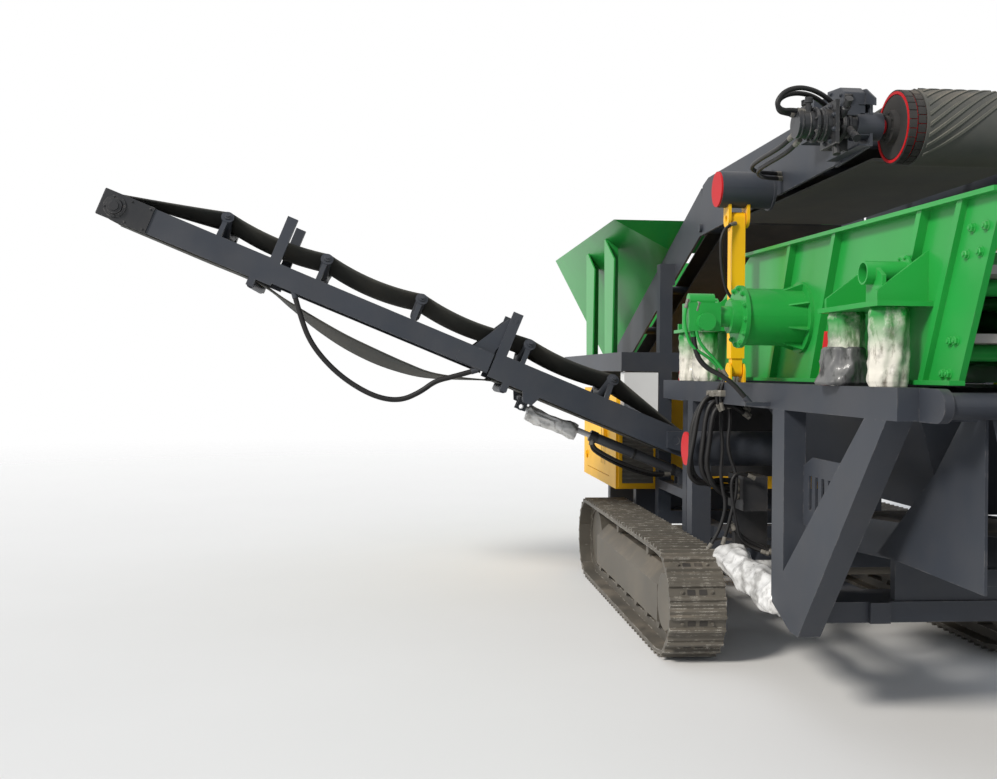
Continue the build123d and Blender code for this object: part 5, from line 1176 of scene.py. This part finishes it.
# %% Film, glands and hoses on the lift cylinders
LIFT_FOOT_Y, LIFT_FOOT_Z = 0.720, 1.120
LIFT_AIM = (0.9263, 0.3768)           # the cylinder's direction: outward, and up
FILM_START, FILM_HANG = 1.08, 0.026   # along the cylinder, and below its axis
GLANDS = ((0.110, 0.052, 0.045), (0.880, 0.052, 0.075), (0.500, 0.050, 0.030))
LINE_HANG = ((0.92, 0.035), (0.90, 0.100), (0.80, 0.130), (0.60, 0.150), (0.40, 0.140),
             (0.24, 0.110), (0.15, 0.055))            # both of them again, for the hoses
for name, side in SIDES:
    foot = Vector((SIDE_X, side * LIFT_FOOT_Y, LIFT_FOOT_Z))
    aim = Vector((0, side * LIFT_AIM[0], LIFT_AIM[1]))
    under = Vector((0, side * aim.z, -LIFT_AIM[0]))
    sleeve = bmesh.new()
    film_sleeve(sleeve, foot + aim * FILM_START + under * FILM_HANG, aim, 0.076, 0.48,
                seed=11 + side, depth=0.040, coil=0.0, sides=72, rings=80, grain=(4.5, 13.0))
    piece_from(sleeve, "lift_film_" + name, "lift_rod_" + name, "wrapped_steel",
               "silver_film", smooth=True)
    gland = bmesh.new()
    for along, wide, long in GLANDS:
        turned(gland, foot + aim * along, aim,
               [(wide - 0.006, 0), (wide, 0.005), (wide, long - 0.005), (wide - 0.006, long)],
               sides=32)
    piece_from(gland, "lift_glands_" + name, "lift_barrel_" + name, "wrapped_steel",
               "drive_black")
    routes = [[foot + aim * along + under * below * sag + Vector((shift, 0, 0))
               for along, below in LINE_HANG] for shift, sag in ((-0.022, 1.0), (0.024, 0.8))]
    hydraulic_lines("lift_line_" + name, "lift_barrel_" + name, 0.030, "hose_rubber", routes)
print("film on two lift cylinders")

# %% The wrapped ram
RAM_START, RAM_END = Vector((0.020, -0.950, 0.735)), Vector((1.215, -0.960, 0.640))
ram = bmesh.new()
film_sleeve(ram, RAM_START, RAM_END - RAM_START, 0.115, (RAM_END - RAM_START).length, seed=21,
            depth=0.060, coil=0.0, sides=72, rings=130, grain=(3.4, 9.5))
turned(ram, (0.180, -0.610, 0.700), (0, -1, 0), [(0.030, 0), (0.030, 0.34)], sides=16)
piece_from(ram, "wrapped_ram", "chassis", "wrapped_steel", "silver_film", smooth=True)
print("ram", round((RAM_END - RAM_START).length, 2), "long")

# %% [markdown]
# A studio stands in place of the yard: one pale floor that fades into the white behind
# it, so that no horizon cuts the picture. A curved backdrop would do the same from one
# side only, and the plant is looked at from all of them.

# %% Floor
FLOOR_HALF = 60.0
FADE_START, FADE_END = 6.0, 26.0      # metres from the plant's middle
floor_mesh = bpy.data.meshes.new("floor")
floor_mesh.from_pydata([(-FLOOR_HALF, -FLOOR_HALF, 0), (FLOOR_HALF, -FLOOR_HALF, 0),
                        (FLOOR_HALF, FLOOR_HALF, 0), (-FLOOR_HALF, FLOOR_HALF, 0)],
                       [], [(0, 1, 2, 3)])
floor = bpy.data.objects.new("floor", floor_mesh)
bpy.context.scene.collection.objects.link(floor)
floor_finish = bpy.data.materials.new("pale_floor")
floor_finish.use_nodes = True
tree = floor_finish.node_tree
floor_shader = tree.nodes["Principled BSDF"]
floor_shader.inputs["Roughness"].default_value = 0.9
wire(tree, mix_colour(tree, noise_of(tree, 0.5, 4.0), (0.78, 0.77, 0.75), (0.82, 0.81, 0.79)),
     floor_shader.inputs["Base Color"])
reach = add(tree, "ShaderNodeVectorMath", (-400, -500), operation="LENGTH")
wire(tree, add(tree, "ShaderNodeTexCoord", (-600, -500)).outputs["Object"], reach.inputs[0])
faded = add(tree, "ShaderNodeMixShader", (500, 0))
wire(tree, ramp(tree, reach.outputs["Value"], FADE_START, FADE_END), faded.inputs["Fac"])
wire(tree, floor_shader.outputs["BSDF"], faded.inputs[1])
wire(tree, add(tree, "ShaderNodeBsdfTransparent", (300, -300)).outputs["BSDF"], faded.inputs[2])
wire(tree, faded.outputs["Shader"], tree.nodes["Material Output"].inputs["Surface"])
floor_mesh.materials.append(floor_finish)
print("floor", 2 * FLOOR_HALF, "m wide, white from", FADE_END, "m on")

# %% [markdown]
# The key light is broad and comes from the left, where the sun stood in the photograph.
# The sky's light on the plant stays soft and a little blue, while the camera and the
# glossy rays see plain white behind it. Light Path tells the two apart. A sky texture
# would tint the paints, which have to look right under other light too.

# %% Light
world = bpy.data.worlds.new("studio")
world.use_nodes = True
bpy.context.scene.world = world
tree = world.node_tree
sky = tree.nodes["Background"]
sky.inputs["Color"].default_value = (0.84, 0.90, 1.0, 1)
sky.inputs["Strength"].default_value = 0.62
backdrop = add(tree, "ShaderNodeBackground", (0, -200), {"Color": (1, 1, 1, 1), "Strength": 1.0})
rays = add(tree, "ShaderNodeLightPath", (-600, 200))
seen = math_node(tree, "MAXIMUM", rays.outputs["Is Camera Ray"], rays.outputs["Is Glossy Ray"])
seen = math_node(tree, "MAXIMUM", seen, rays.outputs["Is Transmission Ray"])
either = add(tree, "ShaderNodeMixShader", (300, 0))
wire(tree, seen, either.inputs["Fac"])
wire(tree, sky.outputs["Background"], either.inputs[1])
wire(tree, backdrop.outputs["Background"], either.inputs[2])
wire(tree, either.outputs["Shader"], tree.nodes["World Output"].inputs["Surface"])
sun_data = bpy.data.lights.new("key", "SUN")
sun_data.energy = 2.9
sun_data.angle = math.radians(12)
sun_data.color = (1.0, 0.96, 0.90)
sun = bpy.data.objects.new("key", sun_data)
sun.rotation_euler = Vector((0.55, -0.75, 0.62)).to_track_quat("Z", "Y").to_euler()
bpy.context.scene.collection.objects.link(sun)
bpy.context.scene.view_settings.view_transform = "Standard"
print("lit by a key of", round(sun_data.energy, 2), "and a pale sky")
